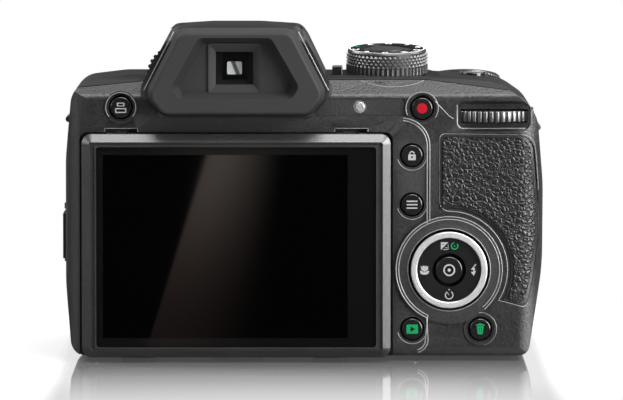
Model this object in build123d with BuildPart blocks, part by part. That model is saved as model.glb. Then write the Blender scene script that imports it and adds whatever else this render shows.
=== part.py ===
from build123d import *
import os
from math import atan2, cos, degrees, radians, sin, tan

# Bridge camera, modelled in millimetres. X runs to the right as seen from behind, Y towards the subject
# and Z up. The origin is the mouth of the tripod socket, straight below the lens axis.

# Overall sizes
body_width = 119.6
lens_inset = 42.8  # lens axis from the left side
body_top = 72.0  # highest point of the shoulders above the table
body_back = 22.0  # back face behind the tripod axis
body_front = 20.0  # front face ahead of the tripod axis
grip_front = 46.0  # foremost point of the grip
foot_height = 1.2
wall = 1.9
seam = 0.16  # visible gap between two covers
slip = 0.3  # gap between pieces that move past each other
running_fit = 0.05  # radial clearance of a pin in its hole
seat = 0.1  # gap between fixed inner pieces
overrun = 6.0  # how far a cut runs past what it cuts
rear_split = -8.0  # Y of the seam between the rear and front covers
top_split = 70.8  # height of the top cover's seam at the back, on both sides of the hump
seam_left_x = -20.0  # where the seam starts to fall towards the left side
seam_right_x = 48.0  # where it starts to fall towards the grip
seam_fall_left = 6.0  # degrees
seam_fall_right = 7.9  # degrees
top_split_slope = 7.0  # degrees the seam falls towards the front

# Lens
lens_height = 36.4
barrel_radius = 31.8
barrel_wall = 2.2
barrel_front = 52.0

# Screen module
screen_width = 77.0
screen_bottom = 1.3
screen_top = 57.1
screen_depth = 6.0
screen_stand_off = 0.6  # inner face of the module inside the body's back face

# Viewfinder hump
hump_rise = 3.9  # from the screen's top edge to the hump's foot
hump_base = screen_top + hump_rise
hump_top = 84.3
hump_half_width = 24.4
hump_back = 24.2
hump_front = 39.5

# Mode dial
mode_dial_x = 37.8
mode_dial_y = -6.0
mode_dial_radius = 10.35
mode_dial_height = 5.2
mode_dial_tilt = 5.5  # degrees, leaning back towards the user

# Round buttons
button_radius = 2.65
button_proud = 0.7
button_gap = 0.42
flange_margin = 0.9  # how far a button's inner flange stands out from its face

# Four-way pad
pad_x = 53.2
pad_z = 23.0
pad_radius = 9.55

body_left = -lens_inset
body_right = body_width - lens_inset
back_y = -body_back


def plan_plane(height):
    return Plane.XY.offset(height)


def back_plane(y):
    return Plane.XZ.offset(-y)


def side_plane(x):
    return Plane.YZ.offset(x)


def rounded_outline(points, inset=0):
    with BuildSketch() as outline:
        with BuildLine():
            FilletPolyline(*[(x, y) for x, y, r in points], radius=[r for x, y, r in points], close=True)
        make_face()
        if inset:
            offset(amount=-inset)
    return outline.sketch


def silhouette_volume(back_points, plan_points, side_points, reach, inset):
    # What the rear, plan and side outlines have in common, each drawn in by the inset.
    with BuildPart() as volume:
        with BuildSketch(back_plane(reach)):
            add(rounded_outline(back_points, inset))
        extrude(amount=2 * reach)
        with BuildSketch(plan_plane(-reach)):
            add(rounded_outline(plan_points, inset))
        extrude(amount=2 * reach, mode=Mode.INTERSECT)
        with BuildSketch(side_plane(-reach)):
            add(rounded_outline(side_points, inset))
        extrude(amount=2 * reach, mode=Mode.INTERSECT)
    return volume.part


# Body outlines. Rear outline: x in shares of the width, z and corner radius in shares of the height.
back_outline_shares = [
    (-0.3445, 0.0167, 0.056),
    (-0.3579, 0.278, 0.556),
    (-0.3579, 0.694, 0.556),
    (-0.3428, 0.964, 0.083),
    (-0.2007, 1.000, 0.278),
    (0.4013, 0.986, 0.417),
    (0.5518, 0.969, 0.194),
    (0.6288, 0.868, 0.125),
    (0.6421, 0.611, 0.694),
    (0.6405, 0.333, 0.833),
    (0.6104, 0.0167, 0.042),
]
back_outline = [(x * body_width, z * body_top, r * body_top) for x, z, r in back_outline_shares]

side_corner = 6.0
back_corner = 6.5
front_corner = 9.0
grip_corner = 15.0
grip_inner_corner = 9.0
grip_left = 50.0
grip_root = 43.0
plan_outline = [
    (body_left, back_y, side_corner),
    (body_right, back_y, back_corner),
    (body_right, grip_front, grip_corner),
    (grip_left, grip_front, grip_inner_corner),
    (grip_root, body_front, side_corner),
    (body_left, body_front, front_corner),
]

top_back_corner = 4.0
base_back_corner = 2.5
slope_depth = 5.0  # the back leans forward at the top, as a sloping shoulder
slope_drop = 5.7
slope_corner = 2.2
slope_top_drop = 0.4
shoulder_y = 14.0
shoulder_drop = 0.5
grip_top_drop = 8.5
shoulder_radius = 30.0
side_outline = [
    (back_y, foot_height, base_back_corner),
    (grip_front, foot_height, side_corner),
    (grip_front, body_top - grip_top_drop, front_corner),
    (shoulder_y, body_top - shoulder_drop, shoulder_radius),
    (back_y + slope_depth, body_top - slope_top_drop, top_back_corner),
    (back_y, body_top - slope_drop, slope_corner),
]

# Tilted seat of the mode dial, on a low cone that grows out of the shoulder
dial_plane = Plane(
    origin=(mode_dial_x, mode_dial_y, body_top - shoulder_drop),
    z_dir=(0, -sin(radians(mode_dial_tilt)), cos(radians(mode_dial_tilt))),
)
dial_seat_gap = 0.4
pedestal_radius = 13.2
pedestal_foot_radius = 15.3
pedestal_height = 3.4


def body_volume(inset):
    return silhouette_volume(back_outline, plan_outline, side_outline, body_width, inset)


def dial_pedestal(inset):
    with BuildPart() as cone:
        with BuildSketch(dial_plane.offset(-dial_seat_gap - inset)):
            Circle(pedestal_radius - inset)
        with BuildSketch(dial_plane.offset(-dial_seat_gap - pedestal_height)):
            Circle(pedestal_foot_radius - inset)
        loft()
    return cone.part


outer_volume = body_volume(0) + dial_pedestal(0)
inner_volume = body_volume(wall) + dial_pedestal(wall)

# Viewfinder hump, and the pop-up flash that forms its front half
hump_base_half = 18.6
hump_waist_rise = 6.5
hump_waist = hump_base + hump_waist_rise  # height of the widest point
hump_crown_half = 16.2
hump_crown_drop = 1.4
hump_corner = 3.5
hump_waist_corner = 3.0
hump_foot_corner = 2.0
hump_crown_radius = 60.0
hump_back_outline = [
    (-hump_base_half, hump_base, hump_foot_corner),
    (-hump_half_width, hump_waist, hump_waist_corner),
    (-hump_crown_half, hump_top - hump_crown_drop, hump_corner),
    (0, hump_top + hump_crown_drop / 2, hump_crown_radius),
    (hump_crown_half, hump_top - hump_crown_drop, hump_corner),
    (hump_half_width, hump_waist, hump_waist_corner),
    (hump_base_half, hump_base, hump_foot_corner),
]
hump_nose_half = 18.0
hump_taper_y = 10.0
hump_edge = 1.5
hump_plan_outline = [
    (-hump_half_width, -hump_back, hump_edge),
    (hump_half_width, -hump_back, hump_edge),
    (hump_half_width, hump_taper_y, front_corner),
    (hump_nose_half, hump_front, hump_corner),
    (-hump_nose_half, hump_front, hump_corner),
    (-hump_half_width, hump_taper_y, front_corner),
]
flash_axis_y = 2.0
flash_axis_z = 77.3
flash_pivot_radius = hump_top - flash_axis_z
hump_crest_y = 20.0
hump_crest_drop = 1.5
hump_nose_drop = 4.8
hump_back_drop = 3.6
hump_back_slope = 5.0
hump_side_outline = [
    (-hump_back, hump_base, hump_edge),
    (-hump_back, hump_top - hump_back_drop, hump_corner),
    (-hump_back + hump_back_slope, hump_top - hump_crown_drop / 2, front_corner),
    (flash_axis_y, hump_top, shoulder_radius),
    (hump_crest_y, hump_top - hump_crest_drop, shoulder_radius),
    (hump_front, hump_top - hump_nose_drop, hump_corner),
    (hump_front, hump_base, hump_edge),
]


def hump_volume(inset):
    return silhouette_volume(hump_back_outline, hump_plan_outline, hump_side_outline, body_width, inset)


hump_outer = hump_volume(0)
hump_socket = hump_volume(-seat)

boss_front = 25.0
boss_bore = barrel_radius + slip + seat
boss_radius = 33.6
with BuildPart() as lens_space:
    with BuildSketch(back_plane(grip_front + overrun)):
        with Locations((0, lens_height)):
            Circle(boss_bore)
    extrude(amount=grip_front + overrun - rear_split)

# Screen module places, from its inner face outwards
bracket_thickness = 1.2
screen_inner = back_y + screen_stand_off
screen_outer = screen_inner - screen_depth
bracket_back = screen_inner + slip
bracket_face = bracket_back + bracket_thickness
recess_floor = bracket_face + slip
backing_thickness = 1.6
screen_side_gap = 0.65
recess_half = screen_width / 2 + screen_side_gap
recess_top = screen_top + slip
recess_corner = 2.0

# Upper hinge of the screen bracket, and the lower hinge of the screen
upper_axis_y = -23.6
upper_axis_z = 55.6
upper_knuckle_radius = 1.5
lower_axis_y = -22.6
lower_axis_z = 3.2
lower_knuckle_radius = 1.4
hinge_pin_radius = 0.7
hinge_centre_x = 28.7
hinge_ear_width = 2.0
hinge_knuckle_width = 2.9
hinge_span = hinge_knuckle_width + 2 * slip + 2 * hinge_ear_width
notch_height = 0.9
notch_corner = 0.3



def above_seam(gap):
    # All that lies above the top cover's seam, which falls to both sides and to the front.
    reach = 2 * body_width
    ridge = top_split + gap + overrun * tan(radians(top_split_slope))
    with BuildPart() as region:
        with BuildSketch(back_plane(back_y - overrun)):
            with BuildLine():
                Polyline(
                    (seam_left_x - reach, ridge - reach * tan(radians(seam_fall_left))),
                    (seam_left_x, ridge),
                    (seam_right_x, ridge),
                    (seam_right_x + reach, ridge - reach * tan(radians(seam_fall_right))),
                    (seam_right_x + reach, ridge + reach),
                    (seam_left_x - reach, ridge + reach),
                    close=True,
                )
            make_face()
        extrude(amount=reach, dir=(0, cos(radians(top_split_slope)), -sin(radians(top_split_slope))))
    return region.part


# Places of the round buttons on the back, seen from behind
viewfinder_button_place = (-28.8, 63.6)
record_button_place = (46.4, 63.4)
lock_button_place = (43.9, 51.6)
menu_button_place = (43.9, 39.3)
playback_button_place = (44.0, 8.1)
delete_button_place = (61.0, 8.1)
round_button_places = [
    viewfinder_button_place,
    record_button_place,
    lock_button_place,
    menu_button_place,
    playback_button_place,
    delete_button_place,
]
ringed_places = [viewfinder_button_place, record_button_place, delete_button_place]
button_ring_outer = 4.1
button_ring_inner = 3.5
button_ring_proud = 0.35

# Four-way pad plate
pad_plate_radius = 13.6
pad_plate_proud = 0.6
pad_hole_radius = pad_radius + 0.65

# Command dial and its pocket
command_x = 64.4
command_y = -14.5
command_radius = 10.2
command_bottom = 60.0
command_thickness = 2.8
command_pocket_half = 9.0
command_pocket_margin = 1.6
command_pocket_depth = 1.1
command_pin_radius = 1.2
command_shelf_thickness = 2.0
command_shelf_half = 8.0
command_shelf_front = -9.5
pocket_bevel = 35.0  # degrees
with BuildPart() as command_room:
    with BuildSketch(plan_plane(command_bottom - slip)):
        with Locations((command_x, command_y)):
            Circle(command_radius + slip)
    extrude(amount=command_thickness + 2 * slip)

# Flash button between the hump and the mode dial
flash_button_x = 25.3
flash_button_y = -11.0
flash_button_length = 6.0
flash_button_width = 2.6
flash_button_proud = 2.0
with BuildPart() as flash_button_room:
    with BuildSketch(plan_plane(body_top - overrun)):
        with Locations((flash_button_x, flash_button_y)):
            RectangleRounded(flash_button_width + 2 * slip, flash_button_length + 2 * slip, 2 * slip)
    extrude(amount=2 * overrun)

# Diopter wheel, let into the left flank of the hump
diopter_x = -15.3
diopter_z = 71.8
diopter_radius = 7.0
diopter_back = -21.6
diopter_thickness = 3.0
diopter_pin_radius = 1.5
diopter_pin_length = 1.2
with BuildPart() as diopter_room:
    with BuildSketch(back_plane(diopter_back + diopter_thickness + slip)):
        with Locations((diopter_x, diopter_z)):
            Circle(diopter_radius + slip)
    extrude(amount=diopter_thickness + 2 * slip)

# Status lamp beside the eyecup
lamp_x = 30.9
lamp_z = 63.7
lamp_radius = 1.25
lamp_hole_radius = 1.65
lamp_depth = 1.2

# Sunk strip between the eyecup and the red button, which holds the lamp
strip_left = 20.0
strip_right = 42.0
strip_bottom = 61.4
strip_top = 65.9
strip_depth = 0.3

# Boards behind the controls
board_thickness = 1.0
key_board_y = -16.8
switch_radius = 2.0
switch_height = 0.6
post_radius = 1.6
key_board_left = 41.4
key_board_right = 70.0
key_board_bottom = 4.0
key_board_top = 56.0
small_board_x = -30.0
small_board_half_x = 6.0
small_board_half_z = 2.4
small_post_x = -34.4
backing_rim = 0.8
key_post_places = [
    (43.0, 45.5),
    (42.9, 31.5),
    (68.0, 53.5),
    (68.0, 13.0),
    (52.5, 8.4),
    (small_post_x, viewfinder_button_place[1]),
]

# Thumb rest, a leather-grained skin that follows the rear cover round the corner
skin_proud = 0.45
skin_seat = 0.6
thumb_arc_radius = 16.3
thumb_corner = 1.5
thumb_outline = [
    (51.6, 56.2, thumb_corner),
    (71.6, 55.8, 2 * thumb_corner),
    (73.4, 53.6, 2 * thumb_corner),
    (74.7, 39.0, 2 * thumb_arc_radius),
    (74.6, 30.0, 2 * thumb_arc_radius),
    (73.2, 20.5, thumb_arc_radius),
    (71.9, 14.6, thumb_corner),
    (60.0, 18.0, thumb_corner),
    (51.6, 30.0, thumb_corner),
]


def thumb_prism(growth):
    with BuildPart() as prism:
        with BuildSketch(back_plane(rear_split - wall)) as outline:
            add(rounded_outline(thumb_outline, -growth))
            with Locations((pad_x, pad_z)):
                Circle(thumb_arc_radius - growth, mode=Mode.SUBTRACT)
        extrude(amount=body_back + overrun)
    return prism.part


skin_floor_volume = body_volume(skin_seat)
thumb_pocket = thumb_prism(seat) - skin_floor_volume
frame_land = 0.7  # flat band between the skin and the groove round it
frame_groove = 0.4
groove_depth = 0.35
thumb_groove = thumb_prism(frame_land + frame_groove) - thumb_prism(frame_land) - body_volume(groove_depth)

with BuildPart() as screen_backing:
    with BuildSketch(back_plane(recess_floor + backing_thickness)):
        with Locations((0, (recess_top + notch_height + backing_rim) / 2)):
            Rectangle(2 * (recess_half + backing_rim), recess_top + notch_height + backing_rim)
    extrude(amount=backing_thickness + body_back)
    add(body_volume(wall / 2), mode=Mode.INTERSECT)

with BuildPart() as rear_cover:
    add(outer_volume)
    add(inner_volume, mode=Mode.SUBTRACT)
    split(bisect_by=back_plane(rear_split - seam / 2), keep=Keep.TOP)
    add(screen_backing.part)
    with BuildSketch(back_plane(back_y + wall / 2)):
        with Locations((pad_x, pad_z)):
            Circle(pad_plate_radius)
    extrude(amount=wall / 2 + pad_plate_proud)
    with BuildSketch(back_plane(back_y + wall / 2)):
        with Locations(*ringed_places):
            Circle(button_ring_outer)
            Circle(button_ring_inner, mode=Mode.SUBTRACT)
    extrude(amount=wall / 2 + button_ring_proud)
    with BuildSketch(back_plane(key_board_y)):
        with Locations(*key_post_places):
            Circle(post_radius)
    extrude(amount=key_board_y - back_y - wall / 2)
    with BuildSketch(plan_plane(command_bottom - slip - command_shelf_thickness)):
        with Locations((command_x, (command_shelf_front + back_y + wall / 2) / 2)):
            Rectangle(2 * command_shelf_half, command_shelf_front - back_y - wall / 2)
    extrude(amount=command_shelf_thickness)
    with BuildSketch(back_plane(recess_floor)):
        with Locations((0, recess_top / 2 - overrun / 2)):
            RectangleRounded(2 * recess_half, recess_top + overrun, recess_corner)
        with Locations(*[(side * hinge_centre_x, recess_top) for side in (-1, 1)]):
            RectangleRounded(hinge_span + slip, 2 * notch_height, notch_corner)
    extrude(amount=body_back + overrun, mode=Mode.SUBTRACT)
    with BuildSketch(back_plane(rear_split)):
        with Locations(*round_button_places):
            Circle(button_radius + button_gap)
        with Locations((pad_x, pad_z)):
            Circle(pad_hole_radius)
        with Locations((lamp_x, lamp_z)):
            Circle(lamp_hole_radius)
    extrude(amount=body_back + overrun, mode=Mode.SUBTRACT)
    with BuildSketch(back_plane(rear_split)):
        with Locations(*round_button_places):
            Circle(button_radius + flange_margin + slip)
    extrude(amount=rear_split - back_y - wall, mode=Mode.SUBTRACT)
    with BuildSketch(back_plane(back_y + command_pocket_depth)):
        with Locations((command_x, command_bottom + command_thickness / 2)):
            RectangleRounded(
                2 * command_pocket_half,
                command_thickness + 2 * command_pocket_margin,
                command_pocket_margin,
            )
    extrude(amount=overrun, taper=-pocket_bevel, mode=Mode.SUBTRACT)
    add(command_room.part, mode=Mode.SUBTRACT)
    with BuildSketch(plan_plane(command_bottom - overrun)):
        with Locations((command_x, command_y)):
            Circle(command_pin_radius + running_fit)
    extrude(amount=overrun, mode=Mode.SUBTRACT)
    with BuildSketch(back_plane(back_y + strip_depth)):
        with Locations(((strip_left + strip_right) / 2, (strip_bottom + strip_top) / 2)):
            RectangleRounded(strip_right - strip_left, strip_top - strip_bottom, slip)
    extrude(amount=overrun, mode=Mode.SUBTRACT)
    add(thumb_pocket, mode=Mode.SUBTRACT)
    add(thumb_groove, mode=Mode.SUBTRACT)
    add(diopter_room.part, mode=Mode.SUBTRACT)
    add(flash_button_room.part, mode=Mode.SUBTRACT)
    add(hump_socket, mode=Mode.SUBTRACT)
    add(above_seam(-seam / 2), mode=Mode.SUBTRACT)

with BuildPart() as thumb_rest:
    add(thumb_prism(0))
    add(body_volume(-skin_proud), mode=Mode.INTERSECT)
    add(body_volume(skin_seat - running_fit), mode=Mode.SUBTRACT)
    split(bisect_by=back_plane(rear_split - wall), keep=Keep.TOP)

# Grip skin, a rubber layer over the grip's nose
grip_skin_left = 47.0
grip_skin_bottom = 6.5
grip_skin_top = 56.0
grip_skin_back = 8.0
grip_skin_corner = 5.0


def grip_prism(growth):
    with BuildPart() as prism:
        with BuildSketch(side_plane(grip_skin_left - growth)):
            with Locations(
                (
                    (grip_skin_back + grip_front + overrun) / 2,
                    (grip_skin_bottom + grip_skin_top) / 2,
                )
            ):
                RectangleRounded(
                    grip_front + overrun - grip_skin_back + 2 * growth,
                    grip_skin_top - grip_skin_bottom + 2 * growth,
                    grip_skin_corner,
                )
        extrude(amount=body_width)
    return prism.part


grip_pocket = grip_prism(seat) - skin_floor_volume

# Battery bay under the grip
battery_left = 53.0
battery_right = 70.3
battery_back = -3.5
battery_front = 35.5
battery_height = 42.0
battery_corner = 3.0
door_left = 51.9
door_back = -5.0
door_front = 37.0
door_thickness = 1.7
door_corner = 1.0
door_axis_x = 70.0
door_axis_z = 2.4
door_edge_radius = 1.05
door_pin_radius = 0.7
door_pin_length = 1.4

# Port door on the left side
port_door_bottom = 24.6
port_door_top = 35.9
port_door_back = -6.6
port_axis_x = -43.2
port_axis_y = 7.6
port_door_thickness = 1.4
port_pin_radius = 0.45
port_pin_length = 1.0
port_ear_length = 1.5
port_ear_radius = 0.85
port_groove = 0.9

# Strap lugs
lug_half_width = 4.5
lug_wire_radius = 0.8
lug_pocket_depth = 2.5
lug_proud = 0.9
lug_inset_left = 0.3  # the side's curve there, in from the widest point
lug_inset_right = 0.9
lug_left_z = 59.5
lug_right_z = 57.4
lug_places = [(-1, body_left + lug_inset_left, lug_left_z), (1, body_right - lug_inset_right, lug_right_z)]
lug_y = 4.0
lug_pocket_half_height = 3.6
lug_floor = 1.2


def lug_plane(side, x, z, depth):
    return Plane(origin=(x - side * depth, lug_y, z), x_dir=(0, 1, 0), z_dir=(side, 0, 0))


# Tripod socket
tripod_thread_radius = 3.175
tripod_bush_radius = 5.5
tripod_flange_radius = 7.0
tripod_height = 5.0
tripod_flange_thickness = 0.9
tripod_boss_margin = 0.4

front_floor_thickness = 3.6
with BuildPart() as front_cover:
    add(outer_volume)
    add(inner_volume, mode=Mode.SUBTRACT)
    split(bisect_by=back_plane(rear_split + seam / 2), keep=Keep.BOTTOM)
    with BuildSketch(back_plane(boss_front)):
        with Locations((0, lens_height)):
            Circle(boss_radius)
    extrude(amount=boss_front - body_front + wall)
    with BuildSketch(plan_plane(foot_height + wall / 2)):
        Circle(tripod_flange_radius + tripod_boss_margin)
    extrude(amount=front_floor_thickness - wall / 2)
    add(lens_space.part, mode=Mode.SUBTRACT)
    with BuildSketch(plan_plane(-overrun)):
        Circle(tripod_bush_radius + running_fit)
    extrude(amount=2 * overrun + tripod_height, mode=Mode.SUBTRACT)
    with BuildSketch(plan_plane(-overrun)):
        Circle(tripod_flange_radius + running_fit)
    extrude(amount=overrun + foot_height + tripod_flange_thickness / 2, mode=Mode.SUBTRACT)
    with BuildSketch(plan_plane(-overrun)):
        with Locations(((door_left + door_axis_x + door_edge_radius) / 2, (door_back + door_front) / 2)):
            RectangleRounded(
                door_axis_x + door_edge_radius - door_left + 2 * slip,
                door_front - door_back + 2 * slip,
                slip,
            )
    extrude(amount=overrun + foot_height + wall + seat, mode=Mode.SUBTRACT)
    add(command_room.part, mode=Mode.SUBTRACT)
    with BuildSketch(back_plane(door_front + door_pin_length + slip)):
        with Locations((door_axis_x, door_axis_z)):
            Circle(door_pin_radius + running_fit)
    extrude(amount=door_front - door_back + 2 * (door_pin_length + slip), mode=Mode.SUBTRACT)
    add(grip_pocket, mode=Mode.SUBTRACT)
    with BuildSketch(plan_plane(port_door_bottom - slip - port_ear_length)):
        with Locations((port_axis_x, port_axis_y)):
            Circle(port_ear_radius)
    extrude(amount=port_ear_length)
    with BuildSketch(plan_plane(port_door_top + slip)):
        with Locations((port_axis_x, port_axis_y)):
            Circle(port_ear_radius)
    extrude(amount=port_ear_length)
    with BuildSketch(plan_plane(port_door_bottom - slip)):
        with Locations((body_left, (port_door_back - slip + port_axis_y + port_groove) / 2)):
            Rectangle(2 * wall + 2 * seat, port_axis_y + port_groove - port_door_back + slip)
    extrude(amount=port_door_top - port_door_bottom + 2 * slip, mode=Mode.SUBTRACT)
    with BuildSketch(plan_plane(port_door_bottom - port_pin_length - slip)):
        with Locations((port_axis_x, port_axis_y)):
            Circle(port_pin_radius + running_fit)
    extrude(
        amount=port_door_top - port_door_bottom + 2 * (port_pin_length + slip), mode=Mode.SUBTRACT
    )
    for side, x, z in lug_places:
        with BuildSketch(lug_plane(side, x, z, lug_pocket_depth + lug_floor)):
            SlotOverall(
                2 * (lug_half_width + lug_wire_radius + lug_floor),
                2 * (lug_pocket_half_height + lug_floor),
            )
        extrude(amount=lug_pocket_depth + lug_floor - wall / 2)
        with BuildSketch(lug_plane(side, x, z, lug_pocket_depth)):
            SlotOverall(2 * (lug_half_width + lug_wire_radius + slip), 2 * lug_pocket_half_height)
        extrude(amount=overrun, mode=Mode.SUBTRACT)
    add(hump_socket, mode=Mode.SUBTRACT)
    add(above_seam(-seam / 2), mode=Mode.SUBTRACT)

with BuildPart() as grip_rubber:
    add(grip_prism(0))
    add(body_volume(-seat), mode=Mode.INTERSECT)
    add(body_volume(skin_seat - running_fit), mode=Mode.SUBTRACT)

# Top cover with the seats of the mode dial, the shutter button and the power button
dial_shaft_radius = 3.0
dial_shaft_length = 7.0
shutter_x = 58.0
shutter_y = 31.5
shutter_surface = 67.0
grip_top_angle = 14.0
shutter_plane = Plane(
    origin=(shutter_x, shutter_y, shutter_surface),
    z_dir=(0, sin(radians(grip_top_angle)), cos(radians(grip_top_angle))),
)
zoom_ring_radius = 9.8
zoom_ring_bore = 6.6
zoom_ring_height = 3.4
zoom_well_depth = 1.0
shutter_radius = 6.2
shutter_stem_radius = 2.4
shutter_travel = 0.9
shutter_proud = 1.0
stem_length = 5.0
power_x = 60.0
power_y = 9.0
power_radius = 3.1
top_plane = plan_plane(body_top - overrun)

with BuildPart() as top_cover:
    add(outer_volume)
    add(inner_volume, mode=Mode.SUBTRACT)
    with BuildSketch(dial_plane.offset(-dial_seat_gap)):
        Circle(pedestal_radius - wall)
    extrude(amount=-(wall + dial_seat_gap))
    with BuildSketch(shutter_plane.offset(-zoom_well_depth)):
        Circle(zoom_ring_radius + wall / 2)
    extrude(amount=-wall)
    add(above_seam(seam / 2), mode=Mode.INTERSECT)
    with BuildSketch(dial_plane.offset(-dial_seat_gap)):
        Circle(mode_dial_radius + slip)
    extrude(amount=overrun, mode=Mode.SUBTRACT)
    with BuildSketch(dial_plane):
        Circle(dial_shaft_radius + running_fit)
    extrude(amount=-2 * overrun, mode=Mode.SUBTRACT)
    with BuildSketch(shutter_plane.offset(-zoom_well_depth)):
        Circle(zoom_ring_radius + slip)
    extrude(amount=2 * overrun, mode=Mode.SUBTRACT)
    with BuildSketch(shutter_plane):
        Circle(shutter_stem_radius + running_fit)
    extrude(amount=-2 * overrun, mode=Mode.SUBTRACT)
    with BuildSketch(top_plane):
        with Locations((power_x, power_y)):
            Circle(power_radius + 2 * seat)
    extrude(amount=2 * overrun, mode=Mode.SUBTRACT)
    add(flash_button_room.part, mode=Mode.SUBTRACT)
    add(diopter_room.part, mode=Mode.SUBTRACT)
    add(hump_socket, mode=Mode.SUBTRACT)

# Viewfinder housing: a shell over the eyepiece, closed below the flash, with the flash's well and cheeks
cheek_half = 16.3
cheek_radius = 7.6
lip_back = 1.8
lip_height = 5.8
flash_floor = 70.9
flash_solid_y = -7.5
eyepiece_x = -0.3
eyepiece_z = 73.8
eyepiece_half = 6.3
eyepiece_opening_half = 5.0
eyepiece_depth = 4.2
eyepiece_corner = 0.8
flash_pin_radius = 1.5
flash_pin_length = 1.4
flash_clear = 0.3


def flash_space(clearance):
    # The room of the flash head: a drum about its hinge between two cheeks, and the wide nose ahead of it.
    with BuildPart() as space:
        with BuildSketch(side_plane(-cheek_half + flash_clear - clearance)):
            with Locations((flash_axis_y, flash_axis_z)):
                Circle(flash_pivot_radius + clearance)
        extrude(amount=2 * (cheek_half - flash_clear + clearance))
        with BuildSketch(plan_plane(flash_floor + flash_clear - clearance)):
            with Locations(((0, (flash_axis_y + hump_front + overrun) / 2))):
                Rectangle(2 * hump_half_width + overrun, hump_front + overrun - flash_axis_y)
        extrude(amount=hump_top)
        with BuildSketch(side_plane(-hump_half_width - overrun)):
            with Locations((flash_axis_y, flash_axis_z)):
                Circle(cheek_radius + flash_clear - clearance)
        extrude(amount=hump_half_width + overrun - cheek_half + flash_clear - clearance, mode=Mode.SUBTRACT)
        with BuildSketch(side_plane(cheek_half - flash_clear + clearance)):
            with Locations((flash_axis_y, flash_axis_z)):
                Circle(cheek_radius + flash_clear - clearance)
        extrude(amount=hump_half_width + overrun - cheek_half + flash_clear - clearance, mode=Mode.SUBTRACT)
    return space.part


with BuildPart() as hump_hollow:
    add(hump_volume(wall))
    split(bisect_by=back_plane(flash_solid_y), keep=Keep.TOP)

with BuildPart() as viewfinder_housing:
    add(hump_outer)
    add(hump_hollow.part, mode=Mode.SUBTRACT)
    with BuildSketch(back_plane(-hump_back + wall / 2)):
        with Locations((eyepiece_x, eyepiece_z)):
            RectangleRounded(2 * eyepiece_half, 2 * eyepiece_half, eyepiece_corner)
    extrude(amount=eyepiece_depth + wall / 2)
    with BuildSketch(back_plane(-hump_back + 2 * wall)):
        with Locations((eyepiece_x, eyepiece_z)):
            RectangleRounded(2 * eyepiece_opening_half, 2 * eyepiece_opening_half, eyepiece_corner)
    extrude(amount=eyepiece_depth + overrun, mode=Mode.SUBTRACT)
    add(flash_space(flash_clear), mode=Mode.SUBTRACT)
    with BuildSketch(plan_plane(flash_axis_z + lip_height)):
        with Locations((0, flash_axis_y - lip_back)):
            Rectangle(2 * cheek_half, 2 * lip_back)
    extrude(amount=overrun, mode=Mode.SUBTRACT)
    with BuildSketch(side_plane(-cheek_half - flash_pin_length - flash_clear)):
        with Locations((flash_axis_y, flash_axis_z)):
            Circle(flash_pin_radius + running_fit)
    extrude(amount=2 * (cheek_half + flash_pin_length + flash_clear), mode=Mode.SUBTRACT)
    add(diopter_room.part, mode=Mode.SUBTRACT)
    with BuildSketch(back_plane(diopter_back)):
        with Locations((diopter_x, diopter_z)):
            Circle(diopter_pin_radius + running_fit)
    extrude(amount=diopter_pin_length + slip + seat, mode=Mode.SUBTRACT)
    with BuildSketch(back_plane(hump_front + overrun)):
        with Locations((0, lens_height)):
            Circle(boss_radius + seat)
    extrude(amount=hump_front + 2 * overrun - rear_split, mode=Mode.SUBTRACT)

with BuildPart() as flash_head:
    add(hump_outer)
    add(flash_space(0), mode=Mode.INTERSECT)
    with BuildSketch(side_plane(-cheek_half - flash_pin_length)):
        with Locations((flash_axis_y, flash_axis_z)):
            Circle(flash_pin_radius)
    extrude(amount=2 * (cheek_half + flash_pin_length))

flash_window_half = 12.0
flash_window_bottom = 72.5
flash_window_top = 77.4
flash_window_depth = 1.8
flash_window_corner = 0.6
flash_window_place = (0, (flash_window_bottom + flash_window_top) / 2)
flash_window_height = flash_window_top - flash_window_bottom
with flash_head:
    with BuildSketch(back_plane(hump_front + overrun)):
        with Locations(flash_window_place):
            RectangleRounded(2 * flash_window_half, flash_window_height, flash_window_corner)
    extrude(amount=overrun + flash_window_depth, mode=Mode.SUBTRACT)

with BuildPart() as flash_lens:
    with BuildSketch(back_plane(hump_front - 2 * seat)):
        with Locations(flash_window_place):
            RectangleRounded(
                2 * (flash_window_half - seat), flash_window_height - 2 * seat, flash_window_corner
            )
    extrude(amount=flash_window_depth - 3 * seat)

# Diopter wheel with a ribbed rim
wheel_rib_count = 30
wheel_rib_depth = 0.45
with BuildPart() as diopter_dial:
    with BuildSketch(back_plane(diopter_back + diopter_thickness)):
        with Locations((diopter_x, diopter_z)):
            Circle(diopter_radius)
            with PolarLocations(diopter_radius, wheel_rib_count):
                Circle(wheel_rib_depth, mode=Mode.SUBTRACT)
    extrude(amount=diopter_thickness)
    with BuildSketch(back_plane(diopter_back)):
        with Locations((diopter_x, diopter_z)):
            Circle(diopter_pin_radius)
    extrude(amount=diopter_pin_length)

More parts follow.
